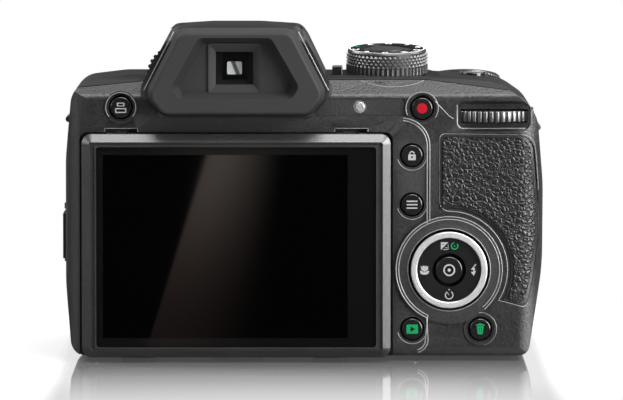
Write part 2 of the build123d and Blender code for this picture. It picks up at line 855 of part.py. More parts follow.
# Eyecup, a soft rubber funnel round the eyepiece
eyecup_top_half = 14.3
eyecup_top = 83.6
eyecup_widest_half = 23.0
eyecup_widest = 66.7
eyecup_bottom_half = 18.4
eyecup_bottom = 61.4
eyecup_depth = 8.2
eyecup_taper = 7.0
eyecup_corner = 4.0
eyecup_outline = [
    (-eyecup_bottom_half, eyecup_bottom, eyecup_corner),
    (-eyecup_widest_half, eyecup_widest, eyecup_corner),
    (-eyecup_top_half, eyecup_top, eyecup_corner),
    (eyecup_top_half, eyecup_top, eyecup_corner),
    (eyecup_widest_half, eyecup_widest, eyecup_corner),
    (eyecup_bottom_half, eyecup_bottom, eyecup_corner),
]
funnel_depth = 3.6
funnel_taper = 24.0
funnel_corner = 2.0
funnel_outline = [
    (-14.4, 66.2, funnel_corner),
    (-16.0, 69.2, funnel_corner),
    (-9.2, 81.4, funnel_corner),
    (8.8, 81.4, funnel_corner),
    (15.8, 69.2, funnel_corner),
    (14.0, 66.2, funnel_corner),
]
eyecup_rim_radius = 0.8
with BuildPart() as eyecup:
    with BuildSketch(back_plane(-hump_back - seat)):
        add(rounded_outline(eyecup_outline))
    extrude(amount=eyecup_depth, taper=eyecup_taper)
    fillet(eyecup.faces().sort_by(Axis.Y)[0].edges(), eyecup_rim_radius)
    with BuildSketch(back_plane(-hump_back - seat - eyecup_depth)):
        add(rounded_outline(funnel_outline))
    extrude(amount=-funnel_depth, taper=funnel_taper, mode=Mode.SUBTRACT)
    with BuildSketch(back_plane(-hump_back + overrun)):
        with Locations((eyepiece_x, eyepiece_z)):
            RectangleRounded(
                2 * (eyepiece_half + seat), 2 * (eyepiece_half + seat), eyepiece_corner + seat
            )
    extrude(amount=2 * overrun + eyecup_depth, mode=Mode.SUBTRACT)

# Eyepiece lens and the viewfinder's display block behind it
eyepiece_glass_depth = 1.6
eyepiece_glass_sink = 0.8
eyepiece_glass_edge = 0.4
with BuildPart() as eyepiece_lens:
    with BuildSketch(back_plane(-hump_back - eyepiece_depth + eyepiece_glass_sink + eyepiece_glass_depth)):
        with Locations((eyepiece_x, eyepiece_z)):
            RectangleRounded(
                2 * (eyepiece_opening_half - seat / 2),
                2 * (eyepiece_opening_half - seat / 2),
                eyepiece_corner,
            )
    extrude(amount=eyepiece_glass_depth)
    fillet(eyepiece_lens.faces().sort_by(Axis.Y)[0].edges(), eyepiece_glass_edge)

evf_length = 12.0
evf_half_width = 5.6
evf_half_height = 4.8
evf_bore_half = 3.2
with BuildPart() as evf_module:
    with BuildSketch(back_plane(-hump_back + wall + seat + evf_length)):
        with Locations((eyepiece_x, eyepiece_z)):
            Rectangle(2 * evf_half_width, 2 * evf_half_height)
    extrude(amount=evf_length)
    with BuildSketch(back_plane(-hump_back + wall + seat + evf_length - 2 * wall)):
        with Locations((eyepiece_x, eyepiece_z)):
            Rectangle(2 * evf_bore_half, 2 * evf_bore_half)
    extrude(amount=evf_length, mode=Mode.SUBTRACT)

# Mode dial: a knurled knob on its shaft, with a marked plate let into the top
dial_rib_count = 44
dial_rib_depth = 0.5
dial_shoulder = 1.0
dial_top_radius = 9.1
dial_plate_radius = 8.2
dial_plate_sink = 0.5
dial_plate_thickness = 0.7
dial_centre_radius = 4.3
dial_plate_top = mode_dial_height + dial_shoulder - dial_plate_sink
with BuildPart() as mode_dial_knob:
    with BuildSketch(dial_plane):
        Circle(mode_dial_radius)
        with PolarLocations(mode_dial_radius, dial_rib_count):
            RegularPolygon(dial_rib_depth, 4, mode=Mode.SUBTRACT)
    extrude(amount=mode_dial_height)
    with BuildSketch(dial_plane.offset(mode_dial_height)):
        Circle(mode_dial_radius - dial_rib_depth)
    with BuildSketch(dial_plane.offset(mode_dial_height + dial_shoulder)):
        Circle(dial_top_radius)
    loft()
    with BuildSketch(dial_plane.offset(dial_plate_top - dial_plate_thickness)):
        Circle(dial_plate_radius + seat)
    extrude(amount=overrun, mode=Mode.SUBTRACT)
    with BuildSketch(dial_plane):
        Circle(dial_shaft_radius)
    extrude(amount=-dial_shaft_length)

with BuildPart() as mode_dial_plate:
    with BuildSketch(dial_plane.offset(dial_plate_top - dial_plate_thickness)):
        Circle(dial_plate_radius)
    extrude(amount=dial_plate_thickness)
    with BuildSketch(dial_plane.offset(dial_plate_top)):
        Circle(dial_centre_radius)
    extrude(amount=dial_plate_sink, taper=funnel_taper)

# Shutter button in the middle of the zoom ring
zoom_tab_length = 4.2
zoom_tab_width = 5.0
zoom_tab_height = 2.4
button_dish = 0.35
with BuildPart() as zoom_lever:
    with BuildSketch(shutter_plane.offset(slip - zoom_well_depth)):
        Circle(zoom_ring_radius)
        Circle(zoom_ring_bore, mode=Mode.SUBTRACT)
    extrude(amount=zoom_ring_height)
    fillet(zoom_lever.edges().filter_by(GeomType.CIRCLE).group_by(SortBy.RADIUS)[-1], 2 * slip)
    with BuildSketch(shutter_plane.offset(zoom_ring_height - zoom_well_depth - zoom_tab_height + slip)):
        with Locations((0, zoom_ring_radius)):
            SlotOverall(2 * zoom_tab_length, zoom_tab_width, rotation=90)
        Circle(zoom_ring_bore + wall / 2, mode=Mode.SUBTRACT)
    extrude(amount=zoom_tab_height)

with BuildPart() as shutter_button:
    with BuildSketch(shutter_plane.offset(shutter_travel + slip - zoom_well_depth)):
        Circle(shutter_radius)
    extrude(amount=zoom_ring_height - shutter_travel + shutter_proud)
    fillet(shutter_button.faces().sort_by(Axis.Z)[-1].edges(), 2 * slip)
    with BuildSketch(shutter_plane.offset(shutter_travel + slip - zoom_well_depth)):
        Circle(shutter_stem_radius)
    extrude(amount=-stem_length)

power_top = 70.9
power_height = 3.4
with BuildPart() as power_button:
    with BuildSketch(plan_plane(power_top - power_height)):
        with Locations((power_x, power_y)):
            Circle(power_radius)
    extrude(amount=power_height)
    fillet(power_button.faces().sort_by(Axis.Z)[-1].edges(), button_dish)
    with BuildSketch(plan_plane(power_top - power_height)):
        with Locations((power_x, power_y)):
            Circle(power_radius + wall / 2)
    extrude(amount=-wall / 2)

flash_button_height = 4.6
with BuildPart() as flash_button:
    with BuildSketch(plan_plane(body_top - shoulder_drop + flash_button_proud - flash_button_height)):
        with Locations((flash_button_x, flash_button_y)):
            RectangleRounded(flash_button_width, flash_button_length, slip)
    extrude(amount=flash_button_height)
    fillet(flash_button.faces().sort_by(Axis.Z)[-1].edges(), slip)

# Command dial, a ribbed wheel on an upright pin
command_rib_count = 44
command_rib_depth = 0.42
with BuildPart() as command_dial:
    with BuildSketch(plan_plane(command_bottom)):
        with Locations((command_x, command_y)):
            Circle(command_radius)
            with PolarLocations(command_radius, command_rib_count):
                RegularPolygon(command_rib_depth, 4, mode=Mode.SUBTRACT)
    extrude(amount=command_thickness)
    with BuildSketch(plan_plane(command_bottom)):
        with Locations((command_x, command_y)):
            Circle(command_pin_radius)
    extrude(amount=-(command_shelf_thickness + slip))

# Round buttons on the back, each with a flange that holds it behind the cover
flange_thickness = 0.6
plunger_radius = 0.9
plunger_length = 1.2
flange_back = back_y + wall + slip + flange_thickness
dome_radius = 0.4


def round_button(label, place):
    with BuildPart() as button:
        with BuildSketch(back_plane(flange_back)):
            with Locations(place):
                Circle(button_radius)
        extrude(amount=flange_back - back_y + button_proud)
        fillet(button.faces().sort_by(Axis.Y)[0].edges(), dome_radius)
        with BuildSketch(back_plane(flange_back)):
            with Locations(place):
                Circle(button_radius + flange_margin)
        extrude(amount=flange_thickness)
        with BuildSketch(back_plane(flange_back + plunger_length)):
            with Locations(place):
                Circle(plunger_radius)
        extrude(amount=plunger_length)
    button.part.label = label
    return button.part


viewfinder_button = round_button("viewfinder_button", viewfinder_button_place)
record_button = round_button("record_button", record_button_place)
lock_button = round_button("lock_button", lock_button_place)
menu_button = round_button("menu_button", menu_button_place)
playback_button = round_button("playback_button", playback_button_place)
delete_button = round_button("delete_button", delete_button_place)

# Four-way pad: rocker with a polished ring, a central button and the rubber boot that springs it
pad_proud = 1.4
pad_face = back_y - pad_proud
pad_ring_inner = 7.97
pad_ring_proud = 0.6
pad_ring_depth = 0.8
pad_centre_hole = 4.2
pad_body_depth = 2.6
pad_flange_depth = 0.7
pad_lip_radius = 9.2
ok_radius = 3.35
ok_stem_radius = 1.5
boot_radius = 8.0
boot_hole = 2.6
boot_back = -18.0
boot_thickness = 0.8
with BuildPart() as rocker_pad:
    with BuildSketch(back_plane(pad_face + pad_body_depth)):
        with Locations((pad_x, pad_z)):
            Circle(pad_radius)
    extrude(amount=pad_body_depth)
    with BuildSketch(back_plane(pad_face + pad_ring_depth)):
        with Locations((pad_x, pad_z)):
            Circle(pad_radius + overrun)
            Circle(pad_ring_inner, mode=Mode.SUBTRACT)
    extrude(amount=overrun, mode=Mode.SUBTRACT)
    with BuildSketch(back_plane(pad_face + pad_body_depth + pad_flange_depth)):
        with Locations((pad_x, pad_z)):
            Circle(pad_lip_radius)
    extrude(amount=pad_flange_depth)
    with BuildSketch(back_plane(pad_face + pad_body_depth + pad_flange_depth)):
        with Locations((pad_x, pad_z)):
            Circle(pad_centre_hole)
    extrude(amount=pad_body_depth + overrun, mode=Mode.SUBTRACT)

with BuildPart() as pad_ring:
    with BuildSketch(back_plane(pad_face + pad_ring_depth - running_fit)):
        with Locations((pad_x, pad_z)):
            Circle(pad_radius)
            Circle(pad_ring_inner + running_fit, mode=Mode.SUBTRACT)
    extrude(amount=pad_ring_depth + pad_ring_proud)
    fillet(pad_ring.faces().sort_by(Axis.Y)[0].edges(), slip)

with BuildPart() as rocker_boot:
    with BuildSketch(back_plane(boot_back + boot_thickness)):
        with Locations((pad_x, pad_z)):
            Circle(boot_radius)
            Circle(boot_hole, mode=Mode.SUBTRACT)
    extrude(amount=boot_thickness)
    with BuildSketch(back_plane(boot_back)):
        with Locations((pad_x, pad_z)):
            Circle(boot_hole + wall)
            Circle(boot_hole, mode=Mode.SUBTRACT)
    extrude(amount=boot_back - pad_face - pad_body_depth - pad_flange_depth - slip)

ok_proud = 0.5
ok_face = pad_face - ok_proud
ok_travel = 0.5
with BuildPart() as ok_button:
    with BuildSketch(back_plane(pad_face + pad_body_depth)):
        with Locations((pad_x, pad_z)):
            Circle(ok_radius)
    extrude(amount=pad_face + pad_body_depth - ok_face)
    fillet(ok_button.faces().sort_by(Axis.Y)[0].edges(), dome_radius)
    with BuildSketch(back_plane(key_board_y - switch_height - ok_travel - seat)):
        with Locations((pad_x, pad_z)):
            Circle(ok_stem_radius)
    extrude(amount=key_board_y - switch_height - ok_travel - seat - pad_face)

# Boards
with BuildPart() as key_board:
    with BuildSketch(back_plane(key_board_y + board_thickness)):
        with Locations(
            ((key_board_left + key_board_right) / 2, (key_board_bottom + key_board_top) / 2)
        ):
            Rectangle(key_board_right - key_board_left, key_board_top - key_board_bottom)
        with Locations((small_board_x, viewfinder_button_place[1])):
            Rectangle(2 * small_board_half_x, 2 * small_board_half_z)
    extrude(amount=board_thickness)
    with BuildSketch(back_plane(key_board_y)):
        with Locations(viewfinder_button_place, lock_button_place, menu_button_place):
            Circle(switch_radius)
        with Locations(playback_button_place, delete_button_place, (pad_x, pad_z)):
            Circle(switch_radius)
    extrude(amount=switch_height)

chassis_y = -8.3
chassis_thickness = 1.2
chassis_left = -39.6
chassis_right = 49.5
chassis_bottom = 3.8
chassis_top = 60.6
chassis_corner = 8.0
chassis_hole_half = 9.0
main_board_y = -13.4
main_board_half = 37.5
main_board_bottom = 6.0
main_board_top = 58.0
standoff_inset = 3.0
chip_height = 1.1
standoff_places = [
    (x, z)
    for x in (-main_board_half + standoff_inset, main_board_half - standoff_inset)
    for z in (main_board_bottom + standoff_inset, main_board_top - standoff_inset)
]
with BuildPart() as chassis:
    with BuildSketch(back_plane(chassis_y)):
        with Locations(((chassis_right + chassis_left) / 2, (chassis_bottom + chassis_top) / 2)):
            RectangleRounded(chassis_right - chassis_left, chassis_top - chassis_bottom, chassis_corner)
        with Locations((0, lens_height)):
            Rectangle(2 * chassis_hole_half, chassis_hole_half, mode=Mode.SUBTRACT)
    extrude(amount=chassis_thickness)
    with BuildSketch(back_plane(chassis_y - chassis_thickness)):
        with Locations(*standoff_places):
            Circle(post_radius)
    extrude(amount=chassis_y - chassis_thickness - main_board_y - seat)

chip_places = [(-20.0, 42.0), (14.0, 44.0), (-14.0, 18.0), (22.0, 20.0)]
chip_size = 11.0
with BuildPart() as main_board:
    with BuildSketch(back_plane(main_board_y)):
        with Locations((0, (main_board_bottom + main_board_top) / 2)):
            Rectangle(2 * main_board_half, main_board_top - main_board_bottom)
    extrude(amount=board_thickness)
    with BuildSketch(back_plane(main_board_y + chip_height)):
        with Locations(*chip_places):
            Rectangle(chip_size, chip_size)
    extrude(amount=chip_height)

# Image sensor on the chassis
sensor_half_x = 8.0
sensor_half_z = 6.5
sensor_depth = 1.8
with BuildPart() as image_sensor:
    with BuildSketch(back_plane(chassis_y + sensor_depth + seat)):
        with Locations((0, lens_height)):
            Rectangle(2 * sensor_half_x, 2 * sensor_half_z)
    extrude(amount=sensor_depth)

# Lens: fixed barrel, two telescoping stages and their glass
barrel_step = 0.8
inner_radius = barrel_radius - barrel_step
housing_back = chassis_y + seat
housing_floor = 1.6
stage_gap = 0.3
stage_wall = 1.5
stage_one_radius = barrel_radius - barrel_wall - stage_gap
stage_two_radius = stage_one_radius - stage_wall - stage_gap
stage_one_back = 8.0
stage_two_back = 13.5
stage_one_front = barrel_front + 2.4
stage_two_front = stage_one_front + 3.6
floor_hole_radius = 11.0
lens_plane = Plane(origin=(0, 0, lens_height), x_dir=(1, 0, 0), z_dir=(0, 0, 1))
ring_step = 0.8
barrel_groove = 1.0


def turned(points):
    # A solid turned about the lens axis from (radius, y) points.
    with BuildPart() as solid:
        with BuildSketch(lens_plane):
            with BuildLine():
                Polyline(*points, close=True)
            make_face()
        revolve(axis=Axis((0, 0, lens_height), (0, 1, 0)))
    return solid


lens_housing = turned([
    (floor_hole_radius, housing_back),
    (inner_radius, housing_back),
    (inner_radius, body_front + wall),
    (barrel_radius, body_front + wall),
    (barrel_radius, barrel_front - 4 * barrel_groove),
    (barrel_radius - ring_step, barrel_front - 4 * barrel_groove),
    (barrel_radius - ring_step, barrel_front - 3 * barrel_groove),
    (barrel_radius, barrel_front - 3 * barrel_groove),
    (barrel_radius, barrel_front - ring_step),
    (barrel_radius - ring_step, barrel_front),
    (barrel_radius - barrel_wall, barrel_front),
    (barrel_radius - barrel_wall, housing_back + housing_floor),
    (floor_hole_radius, housing_back + housing_floor),
])
zoom_barrel_1 = turned([
    (stage_one_radius - stage_wall, stage_one_back),
    (stage_one_radius, stage_one_back),
    (stage_one_radius, stage_one_front - ring_step),
    (stage_one_radius - ring_step / 2, stage_one_front),
    (stage_one_radius - stage_wall, stage_one_front),
])
zoom_barrel_2 = turned([
    (stage_two_radius - stage_wall, stage_two_back),
    (stage_two_radius, stage_two_back),
    (stage_two_radius, stage_two_front),
    (stage_two_radius - stage_wall, stage_two_front),
])
front_ring_depth = 4.6
front_ring_spigot = 5.0
front_glass_radius = 20.6
front_ring = turned([
    (front_glass_radius + seat, stage_two_front - front_ring_spigot),
    (stage_two_radius - stage_wall - running_fit, stage_two_front - front_ring_spigot),
    (stage_two_radius - stage_wall - running_fit, stage_two_front + running_fit),
    (stage_two_radius, stage_two_front + running_fit),
    (stage_two_radius, stage_two_front + front_ring_depth - ring_step),
    (stage_two_radius - ring_step, stage_two_front + front_ring_depth),
    (stage_two_radius - 2 * stage_wall, stage_two_front + front_ring_depth),
    (front_glass_radius + 2 * stage_wall, stage_two_front + ring_step),
    (front_glass_radius + seat, stage_two_front),
])
front_glass_back = stage_two_front - front_ring_spigot
front_glass_rim = 3.0
front_glass_crown = 2.6
front_glass_front = front_glass_back + front_glass_rim + front_glass_crown
front_crown_radius = (front_glass_radius**2 + front_glass_crown**2) / (2 * front_glass_crown)
with BuildPart() as front_lens:
    with BuildSketch(back_plane(front_glass_front)):
        with Locations((0, lens_height)):
            Circle(front_glass_radius)
    extrude(amount=front_glass_front - front_glass_back)
    with Locations((0, front_glass_front - front_crown_radius, lens_height)):
        Sphere(front_crown_radius, mode=Mode.INTERSECT)


def lens_cell(label, outer_radius, back, depth, glass_radius, bulge):
    # A moulded cell with its lens element, held in a barrel.
    with BuildPart() as cell:
        with BuildSketch(back_plane(back + depth)):
            with Locations((0, lens_height)):
                Circle(outer_radius)
        extrude(amount=depth)
        with BuildSketch(back_plane(back + depth + bulge)):
            with Locations((0, lens_height)):
                Circle(glass_radius)
        extrude(amount=depth + bulge)
    cell.part.label = label
    return cell.part


zoom_cell_depth = 3.0
zoom_glass_radius = 10.0
focus_cell_back = 1.6
focus_glass_radius = 9.0
shutter_back = housing_back + housing_floor + slip
shutter_depth = 4.0
shutter_hole = 7.5
zoom_lens_group = lens_cell(
    "zoom_lens_group",
    stage_one_radius - stage_wall - running_fit,
    stage_one_back,
    zoom_cell_depth,
    zoom_glass_radius,
    ring_step,
)
focus_lens_group = lens_cell(
    "focus_lens_group",
    barrel_radius - barrel_wall - running_fit,
    focus_cell_back,
    zoom_cell_depth,
    focus_glass_radius,
    ring_step,
)
with BuildPart() as shutter_unit:
    with BuildSketch(back_plane(shutter_back + shutter_depth)):
        with Locations((0, lens_height)):
            Circle(barrel_radius - barrel_wall - running_fit)
            Circle(shutter_hole, mode=Mode.SUBTRACT)
    extrude(amount=shutter_depth)

# Motor and flash capacitor beside the barrel
motor_x = -34.0
motor_z = 10.2
capacitor_x = 37.0
motor_radius = 5.0
motor_length = 21.0
capacitor_z = 56.0
capacitor_radius = 5.0
capacitor_length = 24.0
with BuildPart() as zoom_motor:
    with BuildSketch(back_plane(housing_back + motor_length)):
        with Locations((motor_x, motor_z)):
            Circle(motor_radius)
    extrude(amount=motor_length)
    fillet(zoom_motor.edges(), ring_step / 2)
with BuildPart() as flash_capacitor:
    with BuildSketch(back_plane(housing_back + capacitor_length)):
        with Locations((capacitor_x, capacitor_z)):
            Circle(capacitor_radius)
    extrude(amount=capacitor_length)
    fillet(flash_capacitor.edges(), ring_step / 2)

# Card slot beside the battery, and the sockets behind the port door
slot_left = 42.6
slot_right = 48.0
slot_front = 15.5
slot_bottom = 6.0
slot_top = 34.0
card_gap = 2.4
with BuildPart() as card_slot:
    with BuildSketch(plan_plane(slot_bottom)):
        with Locations(((slot_left + slot_right) / 2, (housing_back + slot_front) / 2)):
            Rectangle(slot_right - slot_left, slot_front - housing_back)
    extrude(amount=slot_top - slot_bottom)
    with BuildSketch(plan_plane(slot_bottom - overrun)):
        with Locations(((slot_left + slot_right) / 2, (housing_back + slot_front) / 2)):
            Rectangle(card_gap, slot_front - housing_back - 2 * wall)
    extrude(amount=slot_top - slot_bottom + overrun - wall, mode=Mode.SUBTRACT)

socket_depth = 1.2
socket_left = -40.2
socket_right = -34.0
socket_opening = 0.9
socket_length = 9.2
socket_height = 3.2
socket_places = [(-2.4, 27.4), (-2.4, 33.2)]
with BuildPart() as port_sockets:
    with BuildSketch(back_plane(chassis_y + socket_depth + seat)):
        with Locations(((socket_left + socket_right) / 2, (port_door_bottom + port_door_top) / 2)):
            Rectangle(socket_right - socket_left, port_door_top - port_door_bottom)
    extrude(amount=socket_depth)
    with BuildSketch(side_plane(socket_left)):
        with Locations(*socket_places):
            RectangleRounded(socket_length, socket_height, socket_opening)
    extrude(amount=socket_right - socket_left)
    with BuildSketch(side_plane(socket_left - overrun)):
        with Locations(*socket_places):
            RectangleRounded(
                socket_length - socket_opening, socket_height - socket_opening, socket_opening / 2
            )
    extrude(amount=socket_right - socket_left + overrun - wall, mode=Mode.SUBTRACT)

# Battery and its door
with BuildPart() as battery:
    with BuildSketch(plan_plane(foot_height + wall + seat + slip)):
        with Locations(((battery_left + battery_right) / 2, (battery_back + battery_front) / 2)):
            RectangleRounded(
                battery_right - battery_left, battery_front - battery_back, battery_corner
            )
    extrude(amount=battery_height)

latch_x = 56.5
latch_y = 16.0
latch_half_x = 3.4
latch_half_y = 4.0
latch_travel = 1.6
latch_thickness = 0.9
with BuildPart() as battery_door:
    with BuildSketch(plan_plane(foot_height)):
        with Locations(((door_left + door_axis_x) / 2, (door_back + door_front) / 2)):
            Rectangle(door_axis_x - door_left, door_front - door_back)
    extrude(amount=door_thickness)
    with BuildSketch(back_plane(door_front)):
        with Locations((door_axis_x, door_axis_z)):
            Circle(door_edge_radius)
    extrude(amount=door_front - door_back)
    with BuildSketch(back_plane(door_front + door_pin_length)):
        with Locations((door_axis_x, door_axis_z)):
            Circle(door_pin_radius)
    extrude(amount=door_front - door_back + 2 * door_pin_length)
    with BuildSketch(plan_plane(foot_height - overrun)):
        with Locations((latch_x + latch_travel / 2, latch_y)):
            RectangleRounded(
                2 * (latch_half_x + slip) + latch_travel, 2 * (latch_half_y + slip), door_corner
            )
    extrude(amount=overrun + latch_thickness + slip, mode=Mode.SUBTRACT)

latch_rib_pitch = 1.4
latch_rib_half = 0.3
latch_rib_count = 4
with BuildPart() as battery_latch:
    with BuildSketch(plan_plane(foot_height)):
        with Locations((latch_x, latch_y)):
            RectangleRounded(2 * latch_half_x, 2 * latch_half_y, door_corner)
    extrude(amount=latch_thickness)
    with BuildSketch(plan_plane(foot_height)):
        with Locations((latch_x, latch_y)):
            with GridLocations(latch_rib_pitch, latch_rib_pitch, latch_rib_count, 1):
                Rectangle(2 * latch_rib_half, 2 * latch_half_y - 2 * door_corner)
    extrude(amount=slip, mode=Mode.SUBTRACT)

with BuildPart() as port_door:
    with BuildSketch(plan_plane(port_door_bottom)):
        with Locations((port_axis_x, (port_door_back + port_axis_y) / 2)):
            Rectangle(port_door_thickness, port_axis_y - port_door_back)
        with Locations((port_axis_x, port_axis_y)):
            Circle(port_door_thickness / 2)
    extrude(amount=port_door_top - port_door_bottom)
    with BuildSketch(plan_plane(port_door_bottom - port_pin_length)):
        with Locations((port_axis_x, port_axis_y)):
            Circle(port_pin_radius)
    extrude(amount=port_door_top - port_door_bottom + 2 * port_pin_length)

# Tripod bush, feet, strap lugs and lamp
with BuildPart() as tripod_bush:
    with BuildSketch(Plane.XY):
        Circle(tripod_flange_radius)
    extrude(amount=foot_height + tripod_flange_thickness / 2 - running_fit)
    with BuildSketch(Plane.XY):
        Circle(tripod_bush_radius)
    extrude(amount=tripod_height)
    with BuildSketch(Plane.XY):
        Circle(tripod_thread_radius)
    extrude(amount=overrun, mode=Mode.SUBTRACT)

foot_x_left = -24.7
foot_x_right = 23.4
foot_width = 8.6
foot_length = 26.0
foot_corner = 2.0
with BuildPart() as feet:
    with BuildSketch(Plane.XY):
        with Locations((foot_x_left, 0), (foot_x_right, 0)):
            RectangleRounded(foot_width, foot_length, foot_corner)
    extrude(amount=foot_height)

with BuildPart() as strap_lugs:
    for side, x, z in lug_places:
        with BuildSketch(lug_plane(side, x, z, lug_pocket_depth - running_fit)):
            with Locations((-lug_half_width, 0), (lug_half_width, 0)):
                Circle(lug_wire_radius)
        extrude(amount=lug_pocket_depth - running_fit + lug_proud - lug_wire_radius)
        with BuildSketch(
            Plane(
                origin=(
                    x + side * (lug_proud - lug_wire_radius),
                    lug_y - lug_half_width - lug_wire_radius,
                    z,
                ),
                x_dir=(1, 0, 0),
                z_dir=(0, 1, 0),
            )
        ):
            Circle(lug_wire_radius)
        extrude(amount=2 * (lug_half_width + lug_wire_radius))

with BuildPart() as status_lamp:
    with BuildSketch(back_plane(back_y + lamp_depth)):
        with Locations((lamp_x, lamp_z)):
            Circle(lamp_hole_radius - running_fit)
    extrude(amount=lamp_depth / 2)
    with BuildSketch(back_plane(back_y + lamp_depth)):
        with Locations((lamp_x, lamp_z)):
            Circle(lamp_radius)
    extrude(amount=lamp_depth)
    fillet(status_lamp.faces().sort_by(Axis.Y)[0].edges(), dome_radius)

# Screen module: tray, display, glass and bezel
screen_middle = (screen_bottom + screen_top) / 2
screen_height = screen_top - screen_bottom
screen_corner = 2.5
bezel_depth = 1.7
bezel_back = screen_outer + bezel_depth
bevel_width = 1.9
bevel_depth = 1.3
lip_width = 0.35
bezel_groove_edge = 0.2
bezel_groove_depth = 0.5
glass_half = 34.9
glass_bottom = 3.9
glass_top = 54.0
glass_corner = 0.8
glass_depth = 0.7
glass_sink = 0.5
display_left = -33.9
display_right = 28.5
display_bottom = 5.7
display_top = 52.6
display_depth = 1.0
hinge_pocket_half = hinge_span / 2 + slip
hinge_pocket_drop = upper_axis_z - upper_knuckle_radius - slip - seat
hinge_pocket_floor = upper_axis_y - upper_knuckle_radius - slip - seat
lower_centre_x = 24.0
lower_knuckle_width = 4.0
lower_pin_length = 8.0
lower_pocket_margin = 0.3
with BuildPart() as screen_housing:
    with BuildSketch(back_plane(screen_inner)):
        with Locations((0, screen_middle)):
            RectangleRounded(screen_width, screen_height, screen_corner)
    extrude(amount=screen_depth - bezel_depth - seat)
    fillet(screen_housing.faces().sort_by(Axis.Y)[-1].edges(), slip)
    with BuildSketch(back_plane(bezel_back + seat + display_depth + seat)):
        with Locations(((display_left + display_right) / 2, (display_bottom + display_top) / 2)):
            Rectangle(display_right - display_left + 2 * seat, display_top - display_bottom + 2 * seat)
    extrude(amount=overrun, mode=Mode.SUBTRACT)
    with BuildSketch(back_plane(screen_inner + overrun)):
        with Locations(
            *[(side * hinge_centre_x, (hinge_pocket_drop + screen_top + overrun) / 2) for side in (-1, 1)]
        ):
            Rectangle(2 * hinge_pocket_half, screen_top + overrun - hinge_pocket_drop)
    extrude(amount=screen_inner + overrun - hinge_pocket_floor, mode=Mode.SUBTRACT)
    with BuildSketch(back_plane(screen_inner + overrun)):
        with Locations(*[(side * lower_centre_x, lower_axis_z) for side in (-1, 1)]):
            Rectangle(lower_knuckle_width + 2 * slip, 2 * (lower_knuckle_radius + slip + lower_pocket_margin))
    extrude(amount=overrun + lower_knuckle_radius + slip + screen_inner - lower_axis_y, mode=Mode.SUBTRACT)
    with BuildSketch(side_plane(-lower_centre_x - lower_pin_length / 2 - slip)):
        with Locations((lower_axis_y, lower_axis_z)):
            Circle(hinge_pin_radius + running_fit)
    extrude(amount=lower_pin_length + 2 * slip, mode=Mode.SUBTRACT)
    with BuildSketch(side_plane(lower_centre_x - lower_pin_length / 2 - slip)):
        with Locations((lower_axis_y, lower_axis_z)):
            Circle(hinge_pin_radius + running_fit)
    extrude(amount=lower_pin_length + 2 * slip, mode=Mode.SUBTRACT)

with BuildPart() as screen_bezel:
    with BuildSketch(back_plane(bezel_back)):
        with Locations((0, screen_middle)):
            RectangleRounded(screen_width, screen_height, screen_corner)
    extrude(amount=bezel_depth - bevel_depth)
    with BuildSketch(back_plane(screen_outer + bevel_depth)):
        with Locations((0, screen_middle)):
            RectangleRounded(screen_width, screen_height, screen_corner)
    extrude(amount=bevel_depth, taper=degrees(atan2(bevel_width, bevel_depth)))
    with BuildSketch(back_plane(screen_outer + bezel_groove_depth)):
        with Locations((0, screen_middle)):
            Rectangle(
                screen_width - 2 * (bevel_width + bezel_groove_edge),
                screen_height - 2 * (bevel_width + bezel_groove_edge),
            )
        with Locations((0, (glass_bottom + glass_top) / 2)):
            Rectangle(
                2 * (glass_half + lip_width),
                glass_top - glass_bottom + 2 * lip_width,
                mode=Mode.SUBTRACT,
            )
    extrude(amount=overrun, mode=Mode.SUBTRACT)
    with BuildSketch(back_plane(bezel_back + overrun)):
        with Locations((0, (glass_bottom + glass_top) / 2)):
            RectangleRounded(2 * glass_half, glass_top - glass_bottom, glass_corner)
    extrude(amount=bezel_depth + 2 * overrun, mode=Mode.SUBTRACT)

with BuildPart() as screen_glass:
    with BuildSketch(back_plane(screen_outer + glass_sink + glass_depth)):
        with Locations((0, (glass_bottom + glass_top) / 2)):
            RectangleRounded(
                2 * (glass_half - running_fit), glass_top - glass_bottom - 2 * running_fit, glass_corner
            )
    extrude(amount=glass_depth)

with BuildPart() as display_panel:
    with BuildSketch(back_plane(bezel_back + seat + display_depth)):
        with Locations(((display_left + display_right) / 2, (display_bottom + display_top) / 2)):
            Rectangle(display_right - display_left, display_top - display_bottom)
    extrude(amount=display_depth)

# Screen bracket: a pressed plate with an arm to each upper hinge and a knuckle in each lower one
plate_half = 31.0
plate_bottom = 7.5
plate_top = 48.0
plate_corner = 3.0
plate_window_half = 17.0
plate_window_height = 24.0
arm_profile = [
    (bracket_back, plate_top - plate_corner),
    (bracket_face, plate_top - plate_corner),
    (bracket_face, upper_axis_z - hinge_pin_radius),
    (upper_axis_y + hinge_pin_radius, upper_axis_z + upper_knuckle_radius - seat),
    (upper_axis_y, upper_axis_z),
    (upper_axis_y + hinge_pin_radius, upper_axis_z - upper_knuckle_radius + seat),
    (bracket_back, upper_axis_z - upper_knuckle_radius),
]
lower_arm_profile = [
    (bracket_back, plate_bottom + plate_corner),
    (bracket_face, plate_bottom + plate_corner),
    (bracket_face, lower_axis_z - hinge_pin_radius),
    (lower_axis_y, lower_axis_z - hinge_pin_radius),
    (lower_axis_y, lower_axis_z + hinge_pin_radius),
    (bracket_back, lower_axis_z + 2 * hinge_pin_radius),
]
